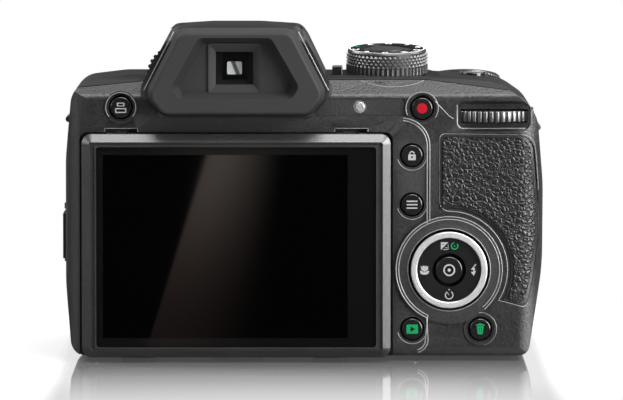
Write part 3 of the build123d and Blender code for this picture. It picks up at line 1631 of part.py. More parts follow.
with BuildPart() as screen_bracket:
    with BuildSketch(back_plane(bracket_face)):
        with Locations((0, (plate_bottom + plate_top) / 2)):
            RectangleRounded(2 * plate_half, plate_top - plate_bottom, plate_corner)
            RectangleRounded(2 * plate_window_half, plate_window_height, plate_corner, mode=Mode.SUBTRACT)
    extrude(amount=bracket_thickness)
    for side in (-1, 1):
        with BuildSketch(side_plane(side * hinge_centre_x - hinge_knuckle_width / 2)):
            with BuildLine():
                Polyline(*arm_profile, close=True)
            make_face()
            with Locations((upper_axis_y, upper_axis_z)):
                Circle(upper_knuckle_radius)
        extrude(amount=hinge_knuckle_width)
        with BuildSketch(side_plane(side * hinge_centre_x - hinge_knuckle_width)):
            with Locations((upper_axis_y, upper_axis_z)):
                Circle(hinge_pin_radius + running_fit)
        extrude(amount=2 * hinge_knuckle_width, mode=Mode.SUBTRACT)
        with BuildSketch(side_plane(side * lower_centre_x - lower_knuckle_width / 2)):
            with BuildLine():
                Polyline(*lower_arm_profile, close=True)
            make_face()
            with Locations((lower_axis_y, lower_axis_z)):
                Circle(lower_knuckle_radius)
        extrude(amount=lower_knuckle_width)
        with BuildSketch(side_plane(side * lower_centre_x - lower_pin_length / 2)):
            with Locations((lower_axis_y, lower_axis_z)):
                Circle(hinge_pin_radius)
        extrude(amount=lower_pin_length)

ear_foot_bottom = 49.0
ear_profile = [
    (recess_floor - 2 * seat - slip, ear_foot_bottom),
    (recess_floor - running_fit, ear_foot_bottom),
    (recess_floor - running_fit, upper_axis_z + upper_knuckle_radius),
    (upper_axis_y, upper_axis_z + upper_knuckle_radius),
    (upper_axis_y, upper_axis_z - hinge_pin_radius),
    (recess_floor - 2 * seat - slip, upper_axis_z - hinge_pin_radius),
]
with BuildPart() as screen_hinge:
    for side in (-1, 1):
        for edge in (-1, 1):
            ear_shift = edge * (hinge_knuckle_width + hinge_ear_width) / 2 + edge * slip
            ear_middle = side * hinge_centre_x + ear_shift
            with BuildSketch(side_plane(ear_middle - hinge_ear_width / 2)):
                with BuildLine():
                    Polyline(*ear_profile, close=True)
                make_face()
                with Locations((upper_axis_y, upper_axis_z)):
                    Circle(upper_knuckle_radius)
            extrude(amount=hinge_ear_width)
        with BuildSketch(side_plane(side * hinge_centre_x - hinge_span / 2)):
            with Locations((upper_axis_y, upper_axis_z)):
                Circle(hinge_pin_radius)
        extrude(amount=hinge_span)

built = {
    "rear_cover": rear_cover,
    "front_cover": front_cover,
    "top_cover": top_cover,
    "thumb_rest": thumb_rest,
    "grip_rubber": grip_rubber,
    "viewfinder_housing": viewfinder_housing,
    "flash_head": flash_head,
    "flash_lens": flash_lens,
    "diopter_dial": diopter_dial,
    "eyecup": eyecup,
    "eyepiece_lens": eyepiece_lens,
    "evf_module": evf_module,
    "mode_dial_knob": mode_dial_knob,
    "mode_dial_plate": mode_dial_plate,
    "zoom_lever": zoom_lever,
    "shutter_button": shutter_button,
    "power_button": power_button,
    "flash_button": flash_button,
    "command_dial": command_dial,
    "rocker_pad": rocker_pad,
    "pad_ring": pad_ring,
    "rocker_boot": rocker_boot,
    "ok_button": ok_button,
    "key_board": key_board,
    "chassis": chassis,
    "main_board": main_board,
    "image_sensor": image_sensor,
    "lens_housing": lens_housing,
    "zoom_barrel_1": zoom_barrel_1,
    "zoom_barrel_2": zoom_barrel_2,
    "front_ring": front_ring,
    "front_lens": front_lens,
    "shutter_unit": shutter_unit,
    "zoom_motor": zoom_motor,
    "flash_capacitor": flash_capacitor,
    "card_slot": card_slot,
    "port_sockets": port_sockets,
    "battery": battery,
    "battery_door": battery_door,
    "battery_latch": battery_latch,
    "port_door": port_door,
    "tripod_bush": tripod_bush,
    "feet": feet,
    "strap_lugs": strap_lugs,
    "status_lamp": status_lamp,
    "screen_housing": screen_housing,
    "screen_bezel": screen_bezel,
    "screen_glass": screen_glass,
    "display_panel": display_panel,
    "screen_bracket": screen_bracket,
    "screen_hinge": screen_hinge,
}
pieces = [
    viewfinder_button,
    record_button,
    lock_button,
    menu_button,
    playback_button,
    delete_button,
    zoom_lens_group,
    focus_lens_group,
]
for name, builder in built.items():
    builder.part.label = name
    pieces.append(builder.part)

os.makedirs("parts", exist_ok=True)
for piece in pieces:
    export_step(piece, f"parts/{piece.label}.step")
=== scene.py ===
import bpy
import math
from mathutils import Matrix, Vector


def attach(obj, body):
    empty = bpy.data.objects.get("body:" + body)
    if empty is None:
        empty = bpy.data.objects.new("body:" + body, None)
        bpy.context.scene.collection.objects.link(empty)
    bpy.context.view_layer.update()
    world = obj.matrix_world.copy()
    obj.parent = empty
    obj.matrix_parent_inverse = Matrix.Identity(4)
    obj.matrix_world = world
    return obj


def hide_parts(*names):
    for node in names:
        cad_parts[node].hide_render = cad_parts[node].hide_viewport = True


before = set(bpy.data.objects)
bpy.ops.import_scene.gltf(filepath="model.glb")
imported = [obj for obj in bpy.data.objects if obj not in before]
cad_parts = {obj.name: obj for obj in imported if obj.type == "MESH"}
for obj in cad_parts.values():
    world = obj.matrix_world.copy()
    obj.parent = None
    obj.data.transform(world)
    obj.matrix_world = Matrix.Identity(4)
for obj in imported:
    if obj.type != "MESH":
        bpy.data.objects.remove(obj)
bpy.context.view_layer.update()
mm = 0.001
print("frame loaded")

# The camera stands behind the object, a little above it, as in the photograph
cameraView = {
    "distance": 1.6, "target": (18.8 * mm, -27.4 * mm, 40.8 * mm), "elevation": 4.0,  # degrees
    "pixelsPerMm": 4.016, "frameWidth": 623, "sensor": 36.0, "farClip": 30.0,
}


def newObject(name, data):
    item = bpy.data.objects.new(name, data)
    bpy.context.scene.collection.objects.link(item)
    return item


def placeCamera(view):
    tilt = math.radians(view["elevation"])
    data = bpy.data.cameras.new("studioCamera")
    data.sensor_width = view["sensor"]
    data.lens = view["sensor"] * view["pixelsPerMm"] * view["distance"] / mm / view["frameWidth"]
    data.clip_end = view["farClip"]
    camera = newObject("studioCamera", data)
    x, y, z = view["target"]
    camera.location = (x, y - view["distance"] * math.cos(tilt), z + view["distance"] * math.sin(tilt))
    camera.rotation_euler = (math.pi / 2 - tilt, 0, 0)
    bpy.context.scene.camera = camera


placeCamera(cameraView)
bpy.context.scene.view_settings.view_transform = "Standard"

# Places that several pieces share, in millimetres and degrees
dialPlane = {"origin": (37.8, -6.0, 71.5), "lean": 5.5}
zoomPlane = {"origin": (58.0, 31.5, 67.0), "lean": -14.0}
lensHeight = 36.4
rayReach = 90.0  # every ray starts outside the body
ribSides = 8  # of the small round ribs
hands = ((-1, "Left"), (1, "Right"))
keyFace, padFace, centreFace = -22.715, -23.415, -23.915
buttonPlaces = {
    "viewfinder_key": (-28.8, keyFace, 63.6), "record_key": (46.4, keyFace, 63.4),
    "lock_key": (43.9, keyFace, 51.6), "menu_key": (43.9, keyFace, 39.3),
    "playback_key": (44.0, keyFace, 8.1), "delete_key": (61.0, keyFace, 8.1),
    "direction_pad": (53.2, padFace, 23.0), "centre_key": (53.2, centreFace, 23.0),
}


def inMetres(*values):
    return tuple(value * mm for value in values)


# Shader nodes: each input is given a number, a colour or a link
def rgba(value):
    # a number is a grey, a pair a grey with its own blue
    if isinstance(value, (int, float)):
        return (value, value, value, 1.0)
    return (value[0], *value, 1.0) if len(value) == 2 else (*value, 1.0)


def setInputs(tree, node, values):
    for label, value in values.items():
        socket = node.inputs[label]
        if isinstance(value, bpy.types.NodeSocket):
            tree.links.new(value, socket)
        else:
            socket.default_value = rgba(value) if socket.type == "RGBA" else value


def addNode(tree, kind, inputs=None, **settings):
    node = tree.nodes.new("ShaderNode" + kind)
    for label, value in settings.items():
        setattr(node, label, value)
    setInputs(tree, node, inputs or {})
    return node.outputs


def mathNode(tree, operation, *values, clamp=False):
    return addNode(tree, "Math", dict(enumerate(values)), operation=operation, use_clamp=clamp)[0]


def scaleAdd(tree, value, factor, offset):
    return mathNode(tree, "MULTIPLY_ADD", value, factor, offset)


def mixColor(tree, factor, a, b):
    return addNode(tree, "Mix", {0: factor, 6: a, 7: b}, data_type="RGBA")[2]


def noise(tree, vector, scale, detail=2.0, rough=0.5):
    inputs = {"Vector": vector, "Scale": scale, "Detail": detail, "Roughness": rough}
    return addNode(tree, "TexNoise", inputs)


def span(tree, value, lowIn, highIn, lowOut=0.0, highOut=1.0, kind="SMOOTHSTEP"):
    inputs = {0: value, 1: lowIn, 2: highIn, 3: lowOut, 4: highOut}
    return addNode(tree, "MapRange", inputs, interpolation_type=kind)[0]


def splitPlace(tree, coords):
    return addNode(tree, "SeparateXYZ", {0: coords})


def bumpNormal(tree, height, depth, strength):
    inputs = {"Height": height, "Distance": depth * mm, "Strength": strength}
    return addNode(tree, "Bump", inputs)["Normal"]


# Shared shader effects, each built once as a group
def newGroup(name, numbers, results, vector=True):
    group = bpy.data.node_groups.new(name, "ShaderNodeTree")
    if vector:
        group.interface.new_socket("Vector", in_out="INPUT", socket_type="NodeSocketVector")
    for label, value in numbers.items():
        socket = group.interface.new_socket(label, in_out="INPUT", socket_type="NodeSocketFloat")
        socket.default_value = value
    for label in results:
        group.interface.new_socket(label, in_out="OUTPUT", socket_type="NodeSocketFloat")
    return group, group.nodes.new("NodeGroupInput").outputs, group.nodes.new("NodeGroupOutput")


def makeGrainGroup():
    speckleSpan, patchShare = (0.35, 0.65), 0.5
    group, given, result = newGroup("mouldGrain", {"Scale": 2600.0, "Patch": 60.0}, ("Height", "Tone"))
    fine = noise(group, given["Vector"], given["Scale"], detail=3.0, rough=0.55)["Fac"]
    broad = noise(group, given["Vector"], given["Patch"])["Fac"]
    speckle = span(group, fine, *speckleSpan, kind="LINEAR")
    patches = mathNode(group, "MULTIPLY", broad, patchShare)
    tone = scaleAdd(group, speckle, 1 - patchShare, patches)
    setInputs(group, result, {"Height": fine, "Tone": tone})
    return group


def makeLeatherGroup():
    warpShift, poreShare, poreDepth, creaseWidth = 0.9 * mm, 3.2, 0.35, 0.28
    group, (vector, scale, *_), result = newGroup("leatherGrain", {"Scale": 900.0}, ("Height", "CreaseAndShade"))
    warp = noise(group, vector, scale)["Color"]
    shifted = addNode(group, "VectorMath", {0: warp, 1: (warpShift,) * 3, 2: vector},
                      operation="MULTIPLY_ADD")[0]
    cells = addNode(group, "TexVoronoi", {"Vector": shifted, "Scale": scale}, feature="DISTANCE_TO_EDGE")
    rise = span(group, cells["Distance"], 0.0, creaseWidth)
    pores = noise(group, vector, mathNode(group, "MULTIPLY", scale, poreShare), detail=4.0)["Fac"]
    # The crease mask also darkens the colour there, as painted shade
    setInputs(group, result, {"Height": scaleAdd(group, pores, poreDepth, rise),
                              "CreaseAndShade": mathNode(group, "SUBTRACT", 1.0, rise)})
    return group


# Painted highlight: a mask of sharp edges, where the base colour turns lighter
def makeEdgeGroup():
    edgeSpan = (0.52, 0.64)
    group, given, result = newGroup("paintedEdgeHighlight", {"Amount": 0.5}, ("Mask",), vector=False)
    pointiness = addNode(group, "NewGeometry")["Pointiness"]
    sharp = span(group, pointiness, *edgeSpan, kind="LINEAR")
    setInputs(group, result, {"Mask": mathNode(group, "MULTIPLY", sharp, given["Amount"], clamp=True)})
    return group


grainGroup = makeGrainGroup()
leatherGroup = makeLeatherGroup()
edgeGroup = makeEdgeGroup()


def newMaterial(name):
    material = bpy.data.materials.new(name)
    material.use_nodes = True
    tree = material.node_tree
    coords = addNode(tree, "TexCoord")["Object"]
    return material, tree, tree.nodes["Principled BSDF"], coords


# relief: the grain's scale, its depth in millimetres and its strength
plasticDefaults = {"relief": (2600.0, 0.03, 0.6), "wear": 0.35, "roughSpread": 0.15, "metal": 0.0,
                   "specular": 0.5, "coat": 0.0, "coatRough": 0.12}


def plastic(dark, light, rough, **more):
    return {**plasticDefaults, "dark": dark, "light": light, "edge": light, "rough": rough, **more}


def mouldedPlastic(name, look):
    # Moulded and painted shells: fine grain, a little tone variation, and a lighter base colour on sharp
    # edges as a painted highlight
    material, tree, bsdf, coords = newMaterial(name)
    scale, depth, bump = look["relief"]
    grain = addNode(tree, "Group", {"Vector": coords, "Scale": scale}, node_tree=grainGroup)
    edgeHighlightMask = addNode(tree, "Group", {"Amount": look["wear"]}, node_tree=edgeGroup)["Mask"]
    base = mixColor(tree, grain["Tone"], look["dark"], look["light"])
    setInputs(tree, bsdf, {
        "Base Color": mixColor(tree, edgeHighlightMask, base, look["edge"]),
        "Roughness": scaleAdd(tree, grain["Tone"], look["roughSpread"], look["rough"]),
        "Metallic": look["metal"], "Specular IOR Level": look["specular"],
        "Normal": bumpNormal(tree, grain["Height"], depth, bump),
    })
    if look["coat"]:
        setInputs(tree, bsdf, {"Coat Weight": look["coat"], "Coat Roughness": look["coatRough"]})
    return material


def leatherSkin(name, look):
    material, tree, bsdf, coords = newMaterial(name)
    leather = addNode(tree, "Group", {"Vector": coords, "Scale": look["grain"]}, node_tree=leatherGroup)
    # Base colour darker in the creases: painted shade; the creases are also rougher
    setInputs(tree, bsdf, {
        "Base Color": mixColor(tree, leather["CreaseAndShade"], look["light"], look["dark"]),
        "Roughness": scaleAdd(tree, leather["CreaseAndShade"], look["roughSpread"], look["rough"]),
        "Normal": bumpNormal(tree, leather["Height"], look["depth"], 1.0),
    })
    return material


def spunMetal(name, look):
    # Rings turned on a lathe: fine circles about a centre given in Object space
    material, tree, bsdf, coords = newMaterial(name)
    place = {"Vector": coords, "Location": inMetres(*look["plane"]["origin"]),
             "Rotation": (math.radians(look["plane"]["lean"]), 0, 0)}
    local = addNode(tree, "Mapping", place, vector_type="TEXTURE")[0]
    roughSpread, depth, bump = 0.12, 0.01, 0.4
    grooves = {"Vector": local, "Scale": 900.0, "Distortion": 1.5, "Detail": 3.0}
    rings = addNode(tree, "TexWave", grooves, wave_type="RINGS", rings_direction="Z")["Fac"]
    setInputs(tree, bsdf, {
        "Base Color": mixColor(tree, rings, look["dark"], look["light"]),
        "Roughness": scaleAdd(tree, rings, roughSpread, look["rough"]),
        "Metallic": look["metal"], "Normal": bumpNormal(tree, rings, depth, bump),
    })
    return material


def clearGlass(name, look):
    material, tree, bsdf, coords = newMaterial(name)
    smudgeScale, smudgeSpread = 90.0, 0.04
    smudge = noise(tree, coords, smudgeScale)["Fac"]
    setInputs(tree, bsdf, {
        "Base Color": look["tint"], "Transmission Weight": 1.0, "IOR": look["ior"],
        "Roughness": scaleAdd(tree, smudge, smudgeSpread, look["rough"]),
    })
    if "coat" in look:
        setInputs(tree, bsdf, {"Coat Weight": look["coat"], "Coat Tint": look["coatTint"]})
    return material


def screenMaterial(name, look):
    # One sheet of cover glass: a printed black border and the display's polished window
    material, tree, bsdf, coords = newMaterial(name)
    split = splitPlace(tree, coords)
    window = 1.0
    for axis in ("X", "Z"):
        low, high = inMetres(*look["window"][axis])
        window = mathNode(tree, "MULTIPLY", mathNode(tree, "GREATER_THAN", split[axis], low), window)
        window = mathNode(tree, "MULTIPLY", mathNode(tree, "LESS_THAN", split[axis], high), window)
    haze = noise(tree, coords, look["hazeScale"])["Fac"]
    rough = scaleAdd(tree, window, look["displayRise"], look["borderRough"])
    setInputs(tree, bsdf, {
        "Base Color": mixColor(tree, window, look["border"], look["display"]),
        "Roughness": scaleAdd(tree, haze, look["haze"], rough),
        "Specular IOR Level": look["specular"],
    })
    return material


# edge is the base colour on sharp edges, a painted highlight
plasticLooks = {
    "bodyShell": plastic((0.008, 0.0085), (0.024, 0.025), 0.28, relief=(1700.0, 0.09, 1.0), edge=0.07),
    "topShell": plastic((0.006, 0.007), (0.014, 0.015), 0.38, relief=(1900.0, 0.04, 0.8), specular=0.25),
    "glossBlack": plastic(0.004, (0.008, 0.009), 0.08, relief=(2600.0, 0.002, 0.2), roughSpread=0.05,
                          coat=0.6, coatRough=0.03, wear=0.1),
    "humpShell": plastic(0.006, (0.012, 0.013), 0.42, specular=0.22, wear=0.5, edge=0.09),
    "softRubber": plastic(0.011, 0.021, 0.62, relief=(3400.0, 0.02, 0.5), specular=0.3, wear=0.2),
    "buttonPlastic": plastic(0.005, 0.011, 0.2, relief=(2600.0, 0.004, 0.3), roughSpread=0.08, coat=0.4),
    "bezelPaint": plastic(0.06, 0.12, 0.27, relief=(3000.0, 0.02, 0.7), metal=0.8, wear=0.3),
    "dialMetal": plastic((0.015, 0.016), (0.035, 0.037), 0.27, relief=(3000.0, 0.01, 0.4), metal=0.7,
                         edge=(0.22, 0.225), wear=0.6),
    "matteBlack": plastic(0.004, 0.009, 0.75, relief=(2600.0, 0.01, 0.3), specular=0.06),
    "ribMetal": plastic((0.17, 0.175), (0.30, 0.31), 0.26, relief=(2600.0, 0.01, 0.3), metal=0.9, wear=0.4),
    "silverPaint": plastic((0.74, 0.75), (0.90, 0.91), 0.26, relief=(2600.0, 0.004, 0.3), metal=0.72),
    "barrelBlack": plastic((0.008, 0.009), (0.018, 0.019), 0.3, relief=(3000.0, 0.01, 0.3), metal=0.2),
    # dark inner parts, and flat dark sheets painted as shade in the speaker holes and mic slots
    "darkInsideAndHoleShade": plastic(0.006, 0.012, 0.6),
    "steelPlate": plastic((0.32, 0.33), (0.48, 0.49), 0.25, relief=(1800.0, 0.006, 0.4), metal=1.0),
    "circuitBoard": plastic((0.004, 0.05, 0.018), (0.008, 0.08, 0.03), 0.3),
    "brassTurned": plastic((0.10, 0.075, 0.035), (0.17, 0.13, 0.065), 0.5, metal=1.0),
    "batteryWrap": plastic((0.03, 0.035), (0.05, 0.055), 0.35),
    "lampLens": plastic((0.45, 0.47, 0.46), (0.75, 0.77, 0.76), 0.08, relief=(900.0, 0.06, 0.8), metal=0.6),
    "redMark": plastic((0.24, 0.0, 0.006), (0.30, 0.0, 0.009), 0.4, specular=0.15),
    "greenMark": plastic((0.0, 0.15, 0.045), (0.0, 0.23, 0.075), 0.4, specular=0.15),
    "whiteMark": plastic(0.22, 0.31, 0.4, specular=0.3),
    "paleMark": plastic(0.75, 0.88, 0.35),
    "paintedHighlightLine": plastic((0.16, 0.163), (0.26, 0.264), 0.25, wear=0.2),
    "amberLens": plastic((0.50, 0.13, 0.01), (0.75, 0.25, 0.03), 0.12, coat=0.5),
}
leatherTones = {"dark": 0.002, "light": (0.012, 0.0125), "grain": 820.0, "roughSpread": 0.3}
leatherLooks = {
    "thumbLeather": {**leatherTones, "rough": 0.26, "depth": 0.13},
    "gripLeather": {**leatherTones, "rough": 0.28, "depth": 0.2},
}
spunLooks = {
    "dialPlate": {
        "plane": dialPlane, "dark": (0.012, 0.013), "light": (0.04, 0.042), "rough": 0.45, "metal": 0.3},
    "shutterCap": {
        "plane": zoomPlane, "dark": (0.20, 0.205), "light": (0.34, 0.345), "rough": 0.3, "metal": 1.0},
}
glassLooks = {
    "lensGlass": {
        "tint": (0.92, 0.95, 0.98), "rough": 0.01, "ior": 1.5, "coat": 0.3, "coatTint": (0.6, 0.75, 1.0)},
    "windowGlass": {"tint": (0.9, 0.92, 0.93), "rough": 0.03, "ior": 1.45},
}
screenLooks = {
    "screenGlass": {
        "window": {"X": (-33.2, 27.8), "Z": (6.2, 52.0)}, "border": 0.003, "display": 0.0003,
        "borderRough": 0.12, "displayRise": -0.1, "hazeScale": 40.0, "haze": 0.01, "specular": 0.5},
}
materials = {}
for makeMaterial, looks in ((mouldedPlastic, plasticLooks), (leatherSkin, leatherLooks),
                            (spunMetal, spunLooks), (clearGlass, glassLooks), (screenMaterial, screenLooks)):
    for name, look in looks.items():
        materials[name] = makeMaterial(name, look)
print("materials made")

nodeLooks = {
    "bodyShell": "rear_cover front_cover battery_door port_door screen_housing",
    "topShell": "top_cover flash_head", "glossBlack": "front_ring", "humpShell": "viewfinder_housing",
    "softRubber": "eyecup diopter_dial rocker_boot feet",
    "buttonPlastic": "viewfinder_button record_button lock_button menu_button playback_button "
        "delete_button ok_button rocker_pad power_button flash_button battery_latch",
    "bezelPaint": "screen_bezel", "dialMetal": "mode_dial_knob zoom_lever", "ribMetal": "command_dial",
    "silverPaint": "pad_ring", "barrelBlack": "lens_housing zoom_barrel_1 zoom_barrel_2",
    "darkInsideAndHoleShade": "evf_module image_sensor shutter_unit flash_capacitor display_panel",
    "steelPlate": "screen_bracket screen_hinge strap_lugs card_slot port_sockets zoom_motor chassis",
    "circuitBoard": "main_board key_board", "brassTurned": "tripod_bush", "batteryWrap": "battery",
    "lampLens": "status_lamp", "thumbLeather": "thumb_rest", "gripLeather": "grip_rubber",
    "dialPlate": "mode_dial_plate", "shutterCap": "shutter_button", "screenGlass": "screen_glass",
    "lensGlass": "front_lens zoom_lens_group focus_lens_group", "windowGlass": "eyepiece_lens flash_lens",
}
for look, nodes in nodeLooks.items():
    for node in nodes.split():
        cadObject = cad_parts[node]
        if not cadObject.material_slots:
            cadObject.data.materials.append(None)
        for materialSlot in cadObject.material_slots:
            materialSlot.material = materials[look]
print("frame dressed")


# Modelling helpers, with lengths in millimetres
def selectOnly(*pieces):
    for item in bpy.context.selected_objects:
        item.select_set(False)
    for piece in pieces:
        piece.select_set(True)
        bpy.context.view_layer.objects.active = pieces[0]


def startPiece(operator, name, **settings):
    selectOnly()
    operator(**settings)
    piece = bpy.context.object
    piece.name = name
    return piece


def applyPlace(piece):
    selectOnly(piece)
    bpy.ops.object.transform_apply(location=True, rotation=True, scale=True)


def applyModifier(piece, kind, **settings):
    selectOnly(piece)
    modifier = piece.modifiers.new(kind.lower(), kind)
    for label, value in settings.items():
        setattr(modifier, label, value)
    bpy.ops.object.modifier_apply(modifier=modifier.name)


def joinPieces(pieces, name):
    selectOnly(*pieces)
    bpy.ops.object.join()
    joined = bpy.context.object
    joined.name = name
    return joined


def makeCylinder(name, radius, height, vertices, place=(0, 0, 0)):
    return startPiece(bpy.ops.mesh.primitive_cylinder_add, name, vertices=vertices, radius=radius * mm,
                      depth=height * mm, location=inMetres(*place))


def makeBlock(name, size, place, bevel, segments):
    block = startPiece(bpy.ops.mesh.primitive_cube_add, name, size=1.0)
    block.scale = inMetres(*size)
    block.location = inMetres(*place)
    applyPlace(block)
    applyModifier(block, "BEVEL", width=bevel * mm, segments=segments)
    return block


def makeSheet(name, place, size, turn):
    # a flat sheet, its place and size in metres
    sheet = startPiece(bpy.ops.mesh.primitive_plane_add, name, size=1.0, location=place, rotation=turn)
    sheet.scale = (*size, 1)
    applyPlace(sheet)
    return sheet


def ringCopies(piece, count, axis="Z", rows=((0, 0),), gap=(0, 0)):
    # copies about an axis replace the piece; a row is a shift in steps and a lift, a gap is in degrees
    copies = []
    for shift, lift in rows:
        for index in range(count):
            turn = 360 * (index + shift) / count
            if gap[0] < turn < gap[1]:
                continue
            twin = piece.copy()
            twin.data = piece.data.copy()
            twin.matrix_world = (Matrix.Rotation(math.radians(turn), 4, axis)
                                 @ Matrix.Translation((0, 0, lift * mm)) @ piece.matrix_world)
            bpy.context.scene.collection.objects.link(twin)
            copies.append(twin)
    bpy.data.objects.remove(piece)
    return copies


def editFaces(action="SELECT"):
    bpy.ops.object.mode_set(mode="EDIT")
    bpy.ops.mesh.select_all(action=action)


def leaveEdit():
    bpy.ops.object.mode_set(mode="OBJECT")


def editTop(piece, share=0.9):
    # selects the faces that look up, in edit mode
    editFaces("DESELECT")
    bpy.ops.mesh.select_mode(type="FACE")
    leaveEdit()
    for face in piece.data.polygons:
        face.select = face.normal.z > share
    bpy.ops.object.mode_set(mode="EDIT")


def insetFaces(width, rise=0.0):
    bpy.ops.mesh.inset(thickness=width * mm)
    if rise:
        bpy.ops.transform.translate(value=(0, 0, rise * mm))


def extrudeFaces(*shift):
    bpy.ops.mesh.extrude_region_move(TRANSFORM_OT_translate={"value": inMetres(*shift)})


def finishPiece(piece, look, body, smooth=40):
    applyPlace(piece)
    piece.data.materials.clear()
    piece.data.materials.append(materials[look])
    if smooth:
        selectOnly(piece)
        bpy.ops.object.shade_smooth_by_angle(angle=math.radians(smooth))
    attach(piece, body)


def curvePiece(name, paths, closed, **settings):
    # paths of points in metres, made into one mesh
    data = bpy.data.curves.new(name, "CURVE")
    for label, value in settings.items():
        setattr(data, label, value)
    for path in paths:
        spline = data.splines.new("POLY")
        spline.points.add(len(path) - 1)
        spline.use_cyclic_u = closed
        for point, place in zip(spline.points, path):
            point.co = (*place, 1)
    piece = newObject(name, data)
    selectOnly(piece)
    bpy.ops.object.convert(target="MESH")
    return bpy.context.object


# Flat marks: closed loops of (u, v) in millimetres, inner loops are holes
def box(u, v, width, height):
    return [(u - width / 2, v - height / 2), (u + width / 2, v - height / 2),
            (u + width / 2, v + height / 2), (u - width / 2, v + height / 2)]


def arcPoints(u, v, radius, first, last, steps=16):
    angles = [math.radians(first + (last - first) * i / steps) for i in range(steps + 1)]
    return [(u + radius * math.cos(a), v + radius * math.sin(a)) for a in angles]


def roundBox(u, v, width, height, radius, steps=4):
    points = []
    for cornerU, cornerV, first in ((1, -1, -90), (1, 1, 0), (-1, 1, 90), (-1, -1, 180)):
        points += arcPoints(u + cornerU * (width / 2 - radius), v + cornerV * (height / 2 - radius), radius,
                            first, first + 90, steps)
    return points


def disc(u, v, radius, steps=28):
    return arcPoints(u, v, radius, 0, 360, steps)[:-1]


def discs(radii, steps=28):
    return [disc(0, 0, radius, steps) for radius in radii]


def arcBand(u, v, inner, outer, first, last, steps=24):
    return arcPoints(u, v, outer, first, last, steps) + arcPoints(u, v, inner, first, last, steps)[::-1]


def markPiece(name, loops, look, body, place, thickness=0.03):
    # place takes local (u, v, out) to the object's frame
    paths = [[inMetres(u, v, 0) for u, v in loop] for loop in loops]
    piece = curvePiece(name, paths, True, dimensions="2D", fill_mode="BOTH", extrude=thickness * mm / 2)
    piece.matrix_world = place
    finishPiece(piece, look, body, smooth=0)


def leaningPlane(plane, rise=0.0):
    # the frame of a plane that leans about X, raised along its normal
    lean = Matrix.Rotation(math.radians(plane["lean"]), 4, "X")
    return Matrix.Translation(inMetres(*plane["origin"])) @ lean @ Matrix.Translation((0, 0, rise * mm))


boltLoop = [(0.35, 1.45), (-0.75, 0.1), (-0.1, 0.1), (-0.25, -0.55), (-0.8, -0.4), (0.0, -1.5),
            (0.55, -0.2), (0.15, -0.35), (0.35, 0.5), (-0.15, 0.5), (0.75, 1.45)]
halfFlower = [(0.0, 0.8), (0.3, 1.2), (0.55, 0.75), (0.95, 1.05), (0.85, 0.1), (0.35, -0.25), (0.14, -0.3),
              (0.14, -0.65), (0.45, -0.3), (1.2, -0.15), (0.95, -0.95), (0.3, -1.2)]
flowerLoop = halfFlower + [(-u, v) for u, v in halfFlower[:0:-1]]
# name, look, body, loops, offset from the body's place
marks = [
    ("recordDot", "redMark", "record_key", [disc(0, 0, 1.3, 40)]),
    ("playMark", "greenMark", "playback_key",
     [roundBox(0, 0, 2.9, 2.3, 0.25), [(-0.45, -0.6), (0.75, 0.0), (-0.45, 0.6)]]),
    ("binMark", "greenMark", "delete_key",
     [[(-0.85, 0.75), (-0.6, -1.25), (0.6, -1.25), (0.85, 0.75)], box(-0.25, -0.25, 0.14, 1.3),
      box(0.25, -0.25, 0.14, 1.3), box(0, 1.05, 2.1, 0.3), box(0, 1.32, 0.8, 0.2)]),
    ("menuMark", "whiteMark", "menu_key",
     [box(0, 0.85, 2.7, 0.34), box(0, 0.0, 2.7, 0.34), box(0, -0.85, 2.7, 0.34)]),
    ("lockMark", "whiteMark", "lock_key",
     [roundBox(0, -0.45, 1.9, 1.45, 0.18), disc(0, -0.4, 0.25, 16), arcBand(0, 0.42, 0.42, 0.7, 0, 180),
      box(-0.56, 0.36, 0.28, 0.14), box(0.56, 0.36, 0.28, 0.14)]),
    ("finderMark", "whiteMark", "viewfinder_key",
     [roundBox(0, 0.75, 1.9, 0.95, 0.2), roundBox(0, 0.75, 1.3, 0.5, 0.1),
      roundBox(0, -0.75, 2.8, 1.2, 0.15), box(0, -0.75, 2.2, 0.65)]),
    ("boltMark", "whiteMark", "direction_pad", [boltLoop], 6.15, 0),
    ("flowerMark", "whiteMark", "direction_pad", [flowerLoop], -6.15, 0),
    ("timerMark", "whiteMark", "direction_pad",
     [arcBand(0, -0.1, 0.82, 1.08, 120, 420), box(0, 1.25, 0.3, 0.35),
      [(-0.1, -0.1), (0.1, -0.25), (-0.35, 0.55), (-0.5, 0.45)]], 0, -6.2),
    ("exposureMark", "whiteMark", "direction_pad",
     [[(-0.95, -0.95), (0.95, 0.95), (-0.95, 0.95)], box(-0.42, 0.45, 0.62, 0.16),
      [(-0.55, -0.95), (0.95, -0.95), (0.95, 0.55), (0.83, 0.43), (0.83, -0.83), (-0.43, -0.83)],
      box(0.36, -0.45, 0.62, 0.16)], -1.15, 6.0),
    ("returnMark", "greenMark", "direction_pad",
     [arcBand(0, 0, 0.66, 0.95, 100, 400), disc(0, 0, 0.18, 12)], 1.35, 6.0),
    ("centreMark", "whiteMark", "centre_key", [*discs((1.5, 1.12), 36), disc(0, 0, 0.4, 20)]),
]
facingBack = Matrix.Rotation(math.pi / 2, 4, "X")
for name, look, body, loops, *offset in marks:
    x, y, z = buttonPlaces[body]
    aside, above = offset or (0, 0)
    place = Matrix.Translation(inMetres(x + aside, y, z + above)) @ facingBack
    markPiece(name, loops, look, body, place)
print("marks on the back made")


# Bead lines on the back, each laid along a path of (x, z) points: raised beads along ribs, grooves and rims,
# coloured light grey as a painted highlight
def surfacePoint(node, place, direction):
    # where a ray through a point in millimetres first meets a CAD node, and its normal there
    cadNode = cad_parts[node]
    into = cadNode.matrix_world.inverted()
    start = (Vector(place) - Vector(direction) * rayReach) * mm
    hit, found, normal, _ = cadNode.ray_cast(into @ start, into.to_3x3() @ Vector(direction))
    if not hit:
        return None, None
    return cadNode.matrix_world @ found, (cadNode.matrix_world.to_3x3() @ normal).normalized()


